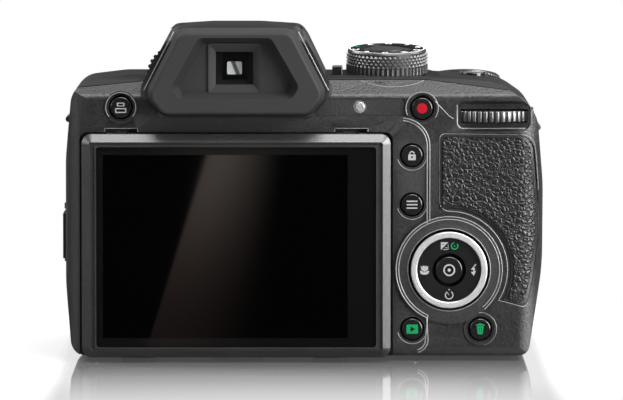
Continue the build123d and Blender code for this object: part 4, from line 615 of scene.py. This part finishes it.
def layTube(name, points, radius, node="rear_cover", closed=False):
    # a fine bead, half sunk in the surface that it follows, light grey as a painted highlight
    places = [surfacePoint(node, (x, 0, z), (0, 1, 0))[0] for x, z in points]
    tube = curvePiece(name, [[place for place in places if place is not None]], closed, dimensions="3D",
                      bevel_depth=radius * mm, bevel_resolution=2, use_fill_caps=not closed)
    finishPiece(tube, "paintedHighlightLine", "camera_body")


def runPoints(stops, spacing=1.0):
    points = [stops[0]]
    for (x0, z0), (x1, z1) in zip(stops, stops[1:]):
        count = max(1, round(math.hypot(x1 - x0, z1 - z0) / spacing))
        points += [(x0 + (x1 - x0) * i / count, z0 + (z1 - z0) * i / count) for i in range(1, count + 1)]
    return points


# An arc is (x, z, radius, first angle, last angle, steps), a run is a list of stops
backLines = {
    "bead": 0.15, "thin": 0.7, "plateThin": 0.8, "pocketThick": 1.3, "notchThin": 0.55,
    "ribGap": 0.66, "ribTop": (41.4, 54.0, 6.6, 88, 0, 12), "ribFoot": (44.6, 5.4, 3.0, 0, -75, 8),
    "plateRadius": 12.95, "ribReach": (245, 40), "plateReach": (-48, 46), "padLine": (10.35, 0, 354, 60),
    "shoulder": [(49.6, 65.2), (51.8, 62.9), (53.2, 61.4), (54.2, 60.8), (55.4, 60.5)],
    # arcs round the button rims, painted highlights where the rims catch light
    "buttonRings": [
        ("finderRing", "viewfinder_key", 3.75, -38, 218), ("recordRing", "record_key", 4.05, -35, 205),
        ("deleteRing", "delete_key", 4.1, -75, 95), ("lockRing", "lock_key", 3.72, 195, 345),
        ("menuRing", "menu_key", 3.72, 195, 345), ("playRing", "playback_key", 3.72, 195, 345)],
    "ringSteps": 22, "pedestal": (39.1, 72.9, 10.2, 4.3), "pedestalSpan": (205, 336, 5),
    "notch": (28.75, 8.3, 57.5, 0.85), "notchSpacing": 0.7, "humpEdge": [(23.0, 68.0), (15.6, 82.4)],
    "pocket": [[(55.15, 64.2), (55.15, 59.9)], (56.7, 59.8, 1.55, 184, 270, 6),
               [(57.5, 58.25), (72.3, 58.25)]],
    "leather": [
        (53.2, 40.0, 2.4, 262, 180, 6), [(50.8, 40.4), (50.8, 55.4)], (52.2, 55.6, 1.4, 180, 90, 6),
        [(52.2, 57.0), (71.2, 56.7)], (71.4, 53.4, 3.3, 88, 12, 8),
        [(75.0, 51.0), (75.45, 45.0), (75.6, 39.0), (75.55, 30.0), (74.9, 24.5), (74.0, 19.4), (73.0, 15.2)],
        (71.6, 15.0, 1.3, 0, -95, 5), (53.2, 23.0, 14.6, -32, 88, 40)],
}


def pathPoints(parts):
    return [point for part in parts
            for point in (arcPoints(*part) if isinstance(part, tuple) else runPoints(part))]


def makeBackLines(spec):
    bead = spec["bead"]
    thin, plateBead = bead * spec["thin"], bead * spec["plateThin"]
    padX, _, padZ = buttonPlaces["direction_pad"]
    for line, shift in (("LineOuter", spec["ribGap"] / 2), ("LineInner", -spec["ribGap"] / 2)):
        ring = spec["plateRadius"] + shift
        topX, topZ, topRadius, *topSpan = spec["ribTop"]
        footX, footZ, footRadius, *footSpan = spec["ribFoot"]
        meet = math.degrees(math.acos((topX + topRadius + shift - padX) / ring))
        path = arcPoints(topX, topZ, topRadius + shift, *topSpan)
        path += arcPoints(padX, padZ, ring, meet, *spec["ribReach"])
        path += arcPoints(footX, footZ, footRadius + shift, *footSpan)
        layTube("rib" + line, path, bead)
        layTube("plate" + line, arcPoints(padX, padZ, ring, meet, *spec["plateReach"]), plateBead)
    layTube("padRingLine", arcPoints(padX, padZ, *spec["padLine"]), thin, closed=True)
    layTube("shoulderLine", runPoints(spec["shoulder"]), thin)
    for name, body, *arc in spec["buttonRings"]:
        x, _, z = buttonPlaces[body]
        layTube(name, arcPoints(x, z, *arc, spec["ringSteps"]), thin)
    x, z, wide, low = spec["pedestal"]
    angles = [math.radians(angle) for angle in range(*spec["pedestalSpan"])]
    layTube("pedestalLine", [(x + wide * math.cos(a), z + low * math.sin(a)) for a in angles], thin)
    notchX, notchWide, notchLow, notchHigh = spec["notch"]
    for side, hand in hands:
        left, right, top = side * notchX - notchWide / 2, side * notchX + notchWide / 2, notchLow + notchHigh
        outline = [(left, notchLow), (left, top), (right, top), (right, notchLow)]
        layTube("notchLine" + hand, runPoints(outline, spec["notchSpacing"]), bead * spec["notchThin"])
    for side, hand in hands:
        edge = runPoints([(side * x, z) for x, z in spec["humpEdge"]])
        layTube("humpLine" + hand, edge, bead, node="viewfinder_housing")
    layTube("pocketBead", pathPoints(spec["pocket"]), bead * spec["pocketThick"])
    layTube("leatherBead", pathPoints(spec["leather"]), plateBead, closed=True)


makeBackLines(backLines)
print("lines on the back made")

# Mode dial: a knob with rows of small teeth over a row of upright ribs
modeDial = {
    "radius": 9.85, "height": 5.75, "sides": 104, "shoulder": 0.45, "topRadius": 9.55, "wellRadius": 6.5,
    "wellDepth": 0.75, "teeth": 52, "toothProud": 0.42, "toothFoot": 0.98, "toothTip": 0.2, "rows": 4,
    "rowHeight": 0.8, "rowLift": 0.62, "ribHeight": 1.85, "ribWidth": 0.72, "ribLift": 0.25, "ribProud": 0.08,
    "darkRing": (9.45, 6.55), "rimHighlightRing": (9.5, 9.22), "ringSteps": 72, "ringLift": 0.02,
    "glyphRadius": 8.05, "glyphTurn": 0.25, "greenGlyph": 4,
}
dialGlyphs = [
    [disc(0, 0, 0.75)], [box(0, 0, 0.5, 1.6)], [roundBox(0, 0, 1.7, 1.2, 0.3), disc(0, 0, 0.35)],
    [[(-0.9, -0.7), (0.9, -0.7), (0.0, 0.9)]], [box(-0.45, 0, 0.35, 1.5), box(0.45, 0, 0.35, 1.5)],
    [arcBand(0, 0, 0.45, 0.85, 40, 320)], [[(0, 0.9), (-0.7, 0), (0, -0.9), (0.7, 0)]],
    [disc(0, 0, 0.8), disc(0, 0, 0.5)], [box(0, 0.45, 1.5, 0.35), box(0, -0.45, 1.5, 0.35)],
    [roundBox(0, 0, 1.5, 1.5, 0.2), box(0, 0, 0.9, 0.9)],
]


def makeModeDial(spec):
    radius, proud, top = spec["radius"], spec["toothProud"], spec["height"] + spec["shoulder"]
    drum = makeCylinder("modeDialKnob", radius, spec["height"], spec["sides"], (0, 0, spec["height"] / 2))
    applyPlace(drum)
    editTop(drum)
    extrudeFaces(0, 0, spec["shoulder"])
    share = spec["topRadius"] / radius
    bpy.ops.transform.resize(value=(share, share, 1))
    insetFaces(spec["topRadius"] - spec["wellRadius"])
    extrudeFaces(0, 0, -spec["wellDepth"])
    leaveEdit()
    toothSize = math.pi * radius / spec["teeth"] * mm
    tooth = startPiece(
        bpy.ops.mesh.primitive_cone_add, "tooth", vertices=4, end_fill_type="TRIFAN",
        radius1=toothSize * spec["toothFoot"], radius2=toothSize * spec["toothTip"], depth=proud * mm,
        rotation=(0, math.pi / 2, 0), location=inMetres(radius + proud / 2, 0, 0))
    rib = makeCylinder("rib", spec["ribWidth"] / 2, spec["ribHeight"], ribSides,
                       (radius + spec["ribProud"], 0, spec["ribHeight"] / 2 + spec["ribLift"]))
    rows = [(0.5 * (row % 2), spec["ribHeight"] + spec["rowLift"] + row * spec["rowHeight"])
            for row in range(spec["rows"])]
    parts = [drum] + ringCopies(tooth, spec["teeth"], rows=rows) + ringCopies(rib, spec["teeth"])
    knob = joinPieces(parts, "modeDialKnurl")
    knob.matrix_world = leaningPlane(dialPlane) @ knob.matrix_world
    finishPiece(knob, "dialMetal", "mode_dial", smooth=30)
    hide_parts("mode_dial_knob")
    glyphs = {"paleMark": [], "greenMark": []}
    for index, glyph in enumerate(dialGlyphs):
        angle = 2 * math.pi * index / len(dialGlyphs) + spec["glyphTurn"]
        turn = Matrix.Rotation(angle - math.pi / 2, 2)
        ink = "greenMark" if index == spec["greenGlyph"] else "paleMark"
        glyphs[ink] += [[turn @ Vector((u, v + spec["glyphRadius"])) for u, v in loop] for loop in glyph]
    markPiece("dialTopRing", discs(spec["darkRing"], spec["ringSteps"]), "matteBlack", "mode_dial",
              leaningPlane(dialPlane, top), spec["ringLift"])
    place = leaningPlane(dialPlane, top + spec["ringLift"])
    # a pale ring at the top rim: a painted highlight along the rim's edge
    rimHighlightRing = discs(spec["rimHighlightRing"], spec["ringSteps"])
    markPiece("dialRimHighlight", rimHighlightRing, "paleMark", "mode_dial", place)
    for name, ink in (("dialGlyphs", "paleMark"), ("dialGreenGlyph", "greenMark")):
        markPiece(name, glyphs[ink], ink, "mode_dial", place)


makeModeDial(modeDial)
print("mode dial made")

# Command dial: a black drum with silver ribs, most of it hidden in its pocket
commandDial = {"centre": (64.4, -14.5, 61.3), "radius": 9.75, "height": 2.9, "sides": 84, "bevel": 0.3,
               "ribs": 42, "rib": (0.85, 0.95, 2.7), "ribBevel": 0.24}


def makeCommandDial(spec):
    centre = Matrix.Translation(inMetres(*spec["centre"]))
    drum = makeCylinder("commandDrum", spec["radius"], spec["height"], spec["sides"])
    applyModifier(drum, "BEVEL", width=spec["bevel"] * mm, segments=2, limit_method="ANGLE")
    drum.matrix_world = centre
    finishPiece(drum, "barrelBlack", "command_wheel")
    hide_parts("command_dial")
    rib = makeBlock("commandRib", spec["rib"], (spec["radius"], 0, 0), spec["ribBevel"], 3)
    ribs = joinPieces(ringCopies(rib, spec["ribs"]), "commandRibs")
    ribs.matrix_world = centre @ ribs.matrix_world
    finishPiece(ribs, "ribMetal", "command_wheel")


makeCommandDial(commandDial)
print("command dial made")

# Zoom ring with ribs and a tab, round a dished shutter button
zoomRing = {
    "radius": 9.3, "bore": 6.5, "low": -0.85, "high": 1.55, "sides": 72, "lip": 0.35, "lipRise": 0.3,
    "floor": 0.6, "ribs": 60, "ribSize": 0.6, "ribHeight": 1.5, "ribLift": 0.35, "ribGap": (62, 118),
    "tab": (5.2, 4.4), "tabLow": 0.5, "tabRise": 0.1, "tabOut": 1.7, "tabBevel": 0.5,
    "capRadius": 6.15, "capLow": 0.75, "capHigh": 2.45, "capSides": 64, "capBevel": 0.4,
    "dish": 0.55, "dishStep": 1.2, "dishShares": (0.4, 0.3, 0.2, 0.1),
}


def makeZoomRing(spec):
    radius, low, high = spec["radius"], spec["low"], spec["high"]
    ring = makeCylinder("zoomRingBody", radius, high - low, spec["sides"], (0, 0, (low + high) / 2))
    applyPlace(ring)
    editTop(ring)
    insetFaces(spec["lip"], spec["lipRise"])
    insetFaces(radius - spec["bore"] - 2 * spec["lip"])
    insetFaces(spec["lip"], -spec["lipRise"])
    extrudeFaces(0, 0, low + spec["floor"] - high)
    leaveEdit()
    rib = makeCylinder("zoomRib", spec["ribSize"] / 2, spec["ribHeight"], ribSides,
                       (radius, 0, low + spec["ribLift"] + spec["ribHeight"] / 2))
    ribs = ringCopies(rib, spec["ribs"], gap=spec["ribGap"])
    tabTop = high + spec["tabRise"]
    tab = makeBlock("zoomTab", (*spec["tab"], tabTop - spec["tabLow"]),
                    (0, radius + spec["tabOut"], (tabTop + spec["tabLow"]) / 2), spec["tabBevel"], 4)
    ring = joinPieces([ring, *ribs, tab], "zoomRingRibbed")
    ring.matrix_world = leaningPlane(zoomPlane) @ ring.matrix_world
    finishPiece(ring, "dialMetal", "zoom_ring", smooth=30)
    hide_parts("zoom_lever")
    cap = makeCylinder("shutterCap", spec["capRadius"], spec["capHigh"] - spec["capLow"], spec["capSides"],
                       (0, 0, (spec["capLow"] + spec["capHigh"]) / 2))
    applyPlace(cap)
    editTop(cap)
    bpy.ops.mesh.bevel(offset=spec["capBevel"] * mm, segments=3, affect="EDGES")
    editTop(cap, share=0.999)
    for share in spec["dishShares"]:
        insetFaces(spec["dishStep"], -spec["dish"] * share)
    leaveEdit()
    cap.matrix_world = leaningPlane(zoomPlane) @ cap.matrix_world
    finishPiece(cap, "shutterCap", "shutter_key", smooth=35)
    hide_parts("shutter_button")


makeZoomRing(zoomRing)
print("zoom ring and shutter made")


# Small marks and fittings laid on the surfaces that a ray meets
def onSurface(node, place, direction, up=(0, 0, 1), lift=0.0):
    place, normal = surfacePoint(node, place, direction)
    side = Vector(up).cross(normal).normalized()
    turn = Matrix((side, normal.cross(side), normal)).transposed().to_4x4()
    return Matrix.Translation(place + normal * lift * mm) @ turn


fittings = {
    "screws": [(-36, -14), (-36, 14), (30, 14), (44, -14), (-30, 0)], "screwLift": 0.02,
    "screw": {"radius": 1.9, "height": 0.5, "sides": 24, "rim": 0.3, "rimRise": 0.12, "socket": 0.25,
              "socketDepth": 0.35},
    "speaker": {"columns": (-1.5, -0.5, 0.5, 1.5), "rows": (-1, 0, 1), "pitch": 1.5, "radius": 0.42,
                "steps": 14, "place": (0, -2.0, 52.0)},
    "mic": {"place": (15.5, 8.0), "pitch": 1.3, "slot": (0.6, 3.4, 0.29)}, "holeThickness": 0.06,
    "power": {"place": (60, 9, 0), "loops": [arcBand(0, 0, 0.95, 1.3, -230, 50), box(0, 1.0, 0.36, 1.2)]},
    "lamp": {"place": (38.5, 0, 60.5), "radius": 2.6, "ring": (3.1, 2.5), "ringThickness": 0.3, "dome": 0.32,
             "cut": -0.2},
}


def makeScrew(name, place, spec):
    head = makeCylinder(name, spec["radius"], spec["height"], spec["sides"])
    applyPlace(head)
    editTop(head)
    insetFaces(spec["radius"] * spec["rim"], spec["rimRise"])
    insetFaces(spec["radius"] * spec["socket"])
    extrudeFaces(0, 0, -spec["socketDepth"])
    leaveEdit()
    head.matrix_world = place
    finishPiece(head, "steelPlate", "camera_body")


def makeFittings(spec):
    for index, (x, y) in enumerate(spec["screws"], 1):
        foot, rise = (x, y, 0), (0, 0, 1)
        covers = [node for node in ("front_cover", "rear_cover") if surfacePoint(node, foot, rise)[0]]
        place = onSurface(covers[0], foot, rise, up=(0, 1, 0), lift=spec["screwLift"])
        makeScrew(f"baseScrew{index}", place, spec["screw"])
    holes, mic, lamp = spec["speaker"], spec["mic"], spec["lamp"]
    # flat dark discs and slots, not cut: painted shade where the speaker holes and mic slots are
    grid = [disc(column * holes["pitch"], row * holes["pitch"], holes["radius"], holes["steps"])
            for column in holes["columns"] for row in holes["rows"]]
    markPiece("speakerHoleShade", grid, "darkInsideAndHoleShade", "camera_body",
              onSurface("front_cover", holes["place"], (1, 0, 0)), spec["holeThickness"])
    wide, long, corner = mic["slot"]
    slots = [roundBox(i * mic["pitch"], 0, wide, long, corner) for i in (-1, 0, 1)]
    x, y = mic["place"]
    for side, hand in hands:
        place = onSurface("flash_head", (side * x, y, 0), (0, 0, -1), up=(0, 1, 0))
        markPiece("micSlotShade" + hand, slots, "darkInsideAndHoleShade", "flash", place,
                  spec["holeThickness"])
    markPiece("powerMark", spec["power"]["loops"], "whiteMark", "power_key",
              onSurface("power_button", spec["power"]["place"], (0, 0, -1), up=(0, 1, 0)))
    place = onSurface("front_cover", lamp["place"], (0, -1, 0))
    markPiece("assistRing", discs(lamp["ring"]), "glossBlack", "camera_body", place,
              lamp["ringThickness"])
    lens = startPiece(bpy.ops.mesh.primitive_uv_sphere_add, "assistLamp", segments=28, ring_count=14,
                      radius=lamp["radius"] * mm)
    lens.scale = (1, 1, lamp["dome"])
    applyPlace(lens)
    editFaces()
    bpy.ops.mesh.bisect(plane_co=inMetres(0, 0, lamp["cut"]), plane_no=(0, 0, 1), clear_inner=True,
                        use_fill=True)
    leaveEdit()
    lens.matrix_world = place
    finishPiece(lens, "amberLens", "camera_body")


makeFittings(fittings)

# Index marks on the front ring and fine ribs round the lens collar
lensTrim = {
    "ticks": 48, "inner": 22.4, "outer": 23.2, "halfWidth": 0.11, "shorter": 0.5, "longEvery": 4,
    "thickness": 0.04, "ribs": 96, "ribPlace": (0, 45.0, 31.75), "rib": (0.55, 8.0, 0.55), "ribBevel": 0.16,
}


def makeLensTrim(spec):
    outer, half = spec["outer"], spec["halfWidth"]
    face, _ = surfacePoint("front_ring", (0, 0, lensHeight + (spec["inner"] + outer) / 2), (0, -1, 0))
    loops = []
    for index in range(spec["ticks"]):
        turn = Matrix.Rotation(2 * math.pi * index / spec["ticks"], 2)
        inner = spec["inner"] + (spec["shorter"] if index % spec["longEvery"] else 0.0)
        corners = ((inner, -half), (outer, -half), (outer, half), (inner, half))
        loops.append([turn @ Vector(corner) for corner in corners])
    place = Matrix.Translation((0, face.y, lensHeight * mm)) @ Matrix.Rotation(-math.pi / 2, 4, "X")
    markPiece("lensTicks", loops, "whiteMark", "zoom_stage_2", place, spec["thickness"])
    rib = makeBlock("lensRib", spec["rib"], spec["ribPlace"], spec["ribBevel"], 2)
    grip = joinPieces(ringCopies(rib, spec["ribs"], axis="Y"), "lensGripRibs")
    grip.matrix_world = Matrix.Translation((0, 0, lensHeight * mm)) @ grip.matrix_world
    finishPiece(grip, "softRubber", "camera_body")


makeLensTrim(lensTrim)
print("small fittings made")

# Rubber frame that narrows to the eyepiece window
eyeFunnel = {"centre": (-0.35, -29.0, 73.7), "outer": (13.1, 12.5), "inner": (9.7, 8.5), "corner": 0.6,
             "lip": 0.35, "depth": 1.1, "wall": 0.35}
upright = (math.pi / 2, 0, 0)


def makeEyeFunnel(spec):
    funnel = makeSheet("eyeFunnel", inMetres(*spec["centre"]), inMetres(*spec["outer"]), upright)
    editFaces()
    bpy.ops.mesh.bevel(offset=spec["corner"] * mm, segments=3, affect="VERTICES")
    insetFaces(spec["lip"])
    extrudeFaces(0, spec["depth"], 0)
    wide, high = (inner / (outer - 2 * spec["lip"]) for inner, outer in zip(spec["inner"], spec["outer"]))
    bpy.ops.transform.resize(value=(wide, 1, high))
    bpy.ops.mesh.delete(type="FACE")
    leaveEdit()
    applyModifier(funnel, "SOLIDIFY", thickness=spec["wall"] * mm, offset=1.0)
    finishPiece(funnel, "softRubber", "camera_body")


makeEyeFunnel(eyeFunnel)

# Painted light in the viewfinder, seen through the eyepiece: a glowing sheet with bands of light across a
# slanted line
finderPaintedLight = {
    "centre": (-0.4, -21.6, 73.45), "size": (3.7, 3.2), "corner": 0.4, "thickness": 0.3, "slant": 22,
    "span": (25.1, 29.3), "rough": 0.3, "base": 0.02,
    "bands": [(0.0, 0.62), (0.38, 0.5), (0.46, 0.06), (0.62, 0.05), (0.7, 0.3), (1.0, 0.22)],
}


def finderMaterial(name, spec):
    material, tree, bsdf, coords = newMaterial(name)
    turn = (0, math.radians(spec["slant"]), 0)
    turned = addNode(tree, "Mapping", {"Vector": coords, "Rotation": turn})[0]
    across = span(tree, splitPlace(tree, turned)["X"], *inMetres(*spec["span"]), kind="LINEAR")
    ramp = tree.nodes.new("ShaderNodeValToRGB")
    stops = ramp.color_ramp.elements
    while len(stops) < len(spec["bands"]):
        stops.new(0.5)
    for stop, (position, grey) in zip(stops, spec["bands"]):
        stop.position = position
        stop.color = rgba(grey)
    setInputs(tree, ramp, {"Fac": across})
    # the glow is painted light: the sheet shines though it is no lamp
    setInputs(tree, bsdf, {"Emission Color": ramp.outputs["Color"], "Emission Strength": 1.0,
                           "Roughness": spec["rough"], "Base Color": spec["base"]})
    return material


def makeFinderPaintedLight(spec):
    picture = makeSheet("finderPaintedLight", inMetres(*spec["centre"]), inMetres(*spec["size"]), upright)
    editFaces()
    bpy.ops.mesh.bevel(offset=spec["corner"] * mm, segments=4, affect="VERTICES")
    leaveEdit()
    applyModifier(picture, "SOLIDIFY", thickness=spec["thickness"] * mm, offset=-1.0)
    materials["finderPaintedGlow"] = finderMaterial("finderPaintedGlow", spec)
    finishPiece(picture, "finderPaintedGlow", "camera_body", smooth=0)


makeFinderPaintedLight(finderPaintedLight)
print("viewfinder picture made")

# Studio: glossy white floor, pale surroundings and soft lamps, in metres
studio = {
    "floorSize": 8.0, "floorDrop": 0.02 * mm, "floorPale": 0.8, "floorRough": 0.05,
    "floorInMirrors": (0.012, 0.3), "mirrorReach": (-0.15, 0.6), "gloss": (0.05, 0.93),
    "glossReach": (-0.19, -0.02), "glossEnd": (0.02, 0.3),
    "glossMiddle": 0.017, "glossSides": (0.0575, 0.063), "grazing": (0.8, 0.92),
    "shadowCentre": (0.017, 0.015, 0.0), "shadowShare": 0.5, "shadowReach": (0.05, 0.16),
    "ambient": 0.14, "sky": (0.01, 0.30), "skyBand": (0.1, 0.8), "lampAim": (0.015, 0.0, 0.035),
}


def mixShaders(tree, factor, a, b):
    return addNode(tree, "MixShader", {0: factor, 1: a, 2: b})[0]


def emission(tree, strength, color=1.0):
    return addNode(tree, "Emission", {"Color": color, "Strength": strength})[0]


def studioMaterial(piece):
    # a bare tree for a studio piece, its Object coordinates, their parts and its output
    material, tree, bsdf, coords = newMaterial(piece.name)
    tree.nodes.remove(bsdf)
    piece.data.materials.append(material)
    return tree, coords, splitPlace(tree, coords), tree.nodes["Material Output"]


def makeFloor(spec):
    floor = startPiece(bpy.ops.mesh.primitive_plane_add, "studioFloor", size=spec["floorSize"],
                       location=(0, 0, -spec["floorDrop"]))
    tree, coords, split, output = studioMaterial(floor)
    y = split["Y"]
    path = addNode(tree, "LightPath")
    pale = addNode(tree, "BsdfDiffuse", {"Color": spec["floorPale"]})[0]
    gloss = addNode(tree, "BsdfGlossy", {"Roughness": spec["floorRough"]})[0]
    ends = {0: coords, 1: spec["shadowCentre"]}
    outward = addNode(tree, "VectorMath", ends, operation="DISTANCE")["Value"]
    shadow = span(tree, outward, *spec["shadowReach"], spec["shadowShare"], 0.0)
    lit = mixShaders(tree, shadow, emission(tree, 1.0), pale)
    aside = mathNode(tree, "ABSOLUTE", mathNode(tree, "SUBTRACT", split["X"], spec["glossMiddle"]))
    facing = addNode(tree, "LayerWeight")["Facing"]
    shine = span(tree, y, *spec["glossReach"], *spec["gloss"])
    for limit in (span(tree, aside, *spec["glossSides"], 1.0, 0.0), span(tree, facing, *spec["grazing"]),
                  span(tree, y, *spec["glossEnd"], 1.0, 0.0)):
        shine = mathNode(tree, "MULTIPLY", shine, limit)
    glow = emission(tree, span(tree, y, *spec["mirrorReach"], *spec["floorInMirrors"]))
    unseen = mixShaders(tree, path["Is Glossy Ray"], pale, glow)
    seen = mixShaders(tree, shine, lit, gloss)
    setInputs(tree, output, {"Surface": mixShaders(tree, path["Is Camera Ray"], unseen, seen)})


def makeWorld(spec):
    world = bpy.data.worlds.new("studioWorld")
    bpy.context.scene.world = world
    world.use_nodes = True
    tree = world.node_tree
    path = addNode(tree, "LightPath")
    height = splitPlace(tree, addNode(tree, "TexCoord")["Generated"])["Z"]
    sky = span(tree, height, *spec["skyBand"], *spec["sky"])
    strength = mathNode(tree, "MULTIPLY", path["Is Glossy Ray"], sky)
    soft = mathNode(tree, "MULTIPLY", path["Is Diffuse Ray"], spec["ambient"])
    for other in (path["Is Camera Ray"], path["Is Transmission Ray"], soft):
        strength = mathNode(tree, "MAXIMUM", strength, other)
    setInputs(tree, tree.nodes["Background"], {"Color": 1.0, "Strength": strength})


def startCard(name, place, size, turn):
    # a studio card that only mirrors see
    card = makeSheet(name, place, size, turn)
    for sight in ("visible_camera", "visible_diffuse", "visible_shadow", "visible_transmission"):
        setattr(card, sight, False)
    return card


# name, place, size, turn about Z in degrees, strength
cards = [
    ("lowCard", (0, 1.6, 0.085), (0.56, 0.17), 0, 1.0),
    ("edgeCard", (0.98, -0.90, 0.42), (0.34, 0.95), 47, 16.0),
]
# A brown card on the floor behind the camera's back, mirrored in the display
glare = {
    "place": (0, -0.48, 0.3 * mm), "size": (0.09, 0.84), "edgeX": -23.9, "lean": 0.0033, "soft": 0.9,
    "fadeFrom": 4.0, "width": 31.0, "reach": (-0.86, -0.08), "strength": (1.2, 0.2),
    "nearColor": (1.0, 0.74, 0.66), "farColor": (1.0, 0.86, 0.76),
}


def makeGlareCard(spec):
    card = startCard("glareCard", spec["place"], spec["size"], (0, 0, 0))
    tree, _, split, output = studioMaterial(card)
    y = split["Y"]
    across = scaleAdd(tree, y, spec["lean"], split["X"])
    start, softEnd, fadeStart, fadeEnd = inMetres(*(spec["edgeX"] + step for step in (
        0.0, spec["soft"], spec["fadeFrom"], spec["width"])))
    color = mixColor(tree, span(tree, y, *spec["reach"], 1.0, 0.0), spec["nearColor"], spec["farColor"])
    lit = emission(tree, span(tree, y, *spec["reach"], *spec["strength"]), color)
    clear = addNode(tree, "BsdfTransparent")[0]
    backfacing = addNode(tree, "NewGeometry")["Backfacing"]
    amount = mathNode(tree, "SUBTRACT", 1.0, backfacing)
    for limit in (span(tree, across, start, softEnd), span(tree, across, fadeStart, fadeEnd, 1.0, 0.0)):
        amount = mathNode(tree, "MULTIPLY", amount, limit)
    setInputs(tree, output, {"Surface": mixShaders(tree, amount, clear, lit)})


# name, place, size, power
lamps = [
    ("leftStrip", (-0.95, -0.42, 0.45), (0.16, 0.6), 2.6),
    ("rightStrip", (0.95, -0.50, 0.25), (0.24, 0.9), 14.0),
    ("rightNear", (0.72, -0.85, 0.32), (0.18, 0.8), 5.0),
    ("topBack", (0.22, -0.40, 1.00), (0.8, 0.50), 11.5),
    ("topLeft", (-0.70, 0.32, 0.78), (0.35, 0.5), 8.0),
    ("topRight", (0.70, 0.20, 0.85), (0.40, 0.7), 9.0),
    ("frontSide", (0.2, 1.4, 0.9), (1.2, 0.8), 12.0),
]


def makeLamp(name, place, size, power):
    data = bpy.data.lights.new(name, "AREA")
    data.shape = "RECTANGLE"
    data.size, data.size_y = size
    data.energy = power
    lamp = newObject(name, data)
    lamp.location = place
    aim = Vector(studio["lampAim"]) - Vector(place)
    lamp.rotation_euler = aim.to_track_quat("-Z", "Y").to_euler()
    lamp.visible_camera = False
    lamp.visible_glossy = name != "frontSide"


makeFloor(studio)
makeWorld(studio)
for name, place, size, turn, strength in cards:
    card = startCard(name, place, size, (math.pi / 2, 0, math.radians(turn)))
    tree, _, _, output = studioMaterial(card)
    setInputs(tree, output, {"Surface": emission(tree, strength)})
makeGlareCard(glare)
for lamp in lamps:
    makeLamp(*lamp)
print("studio made")
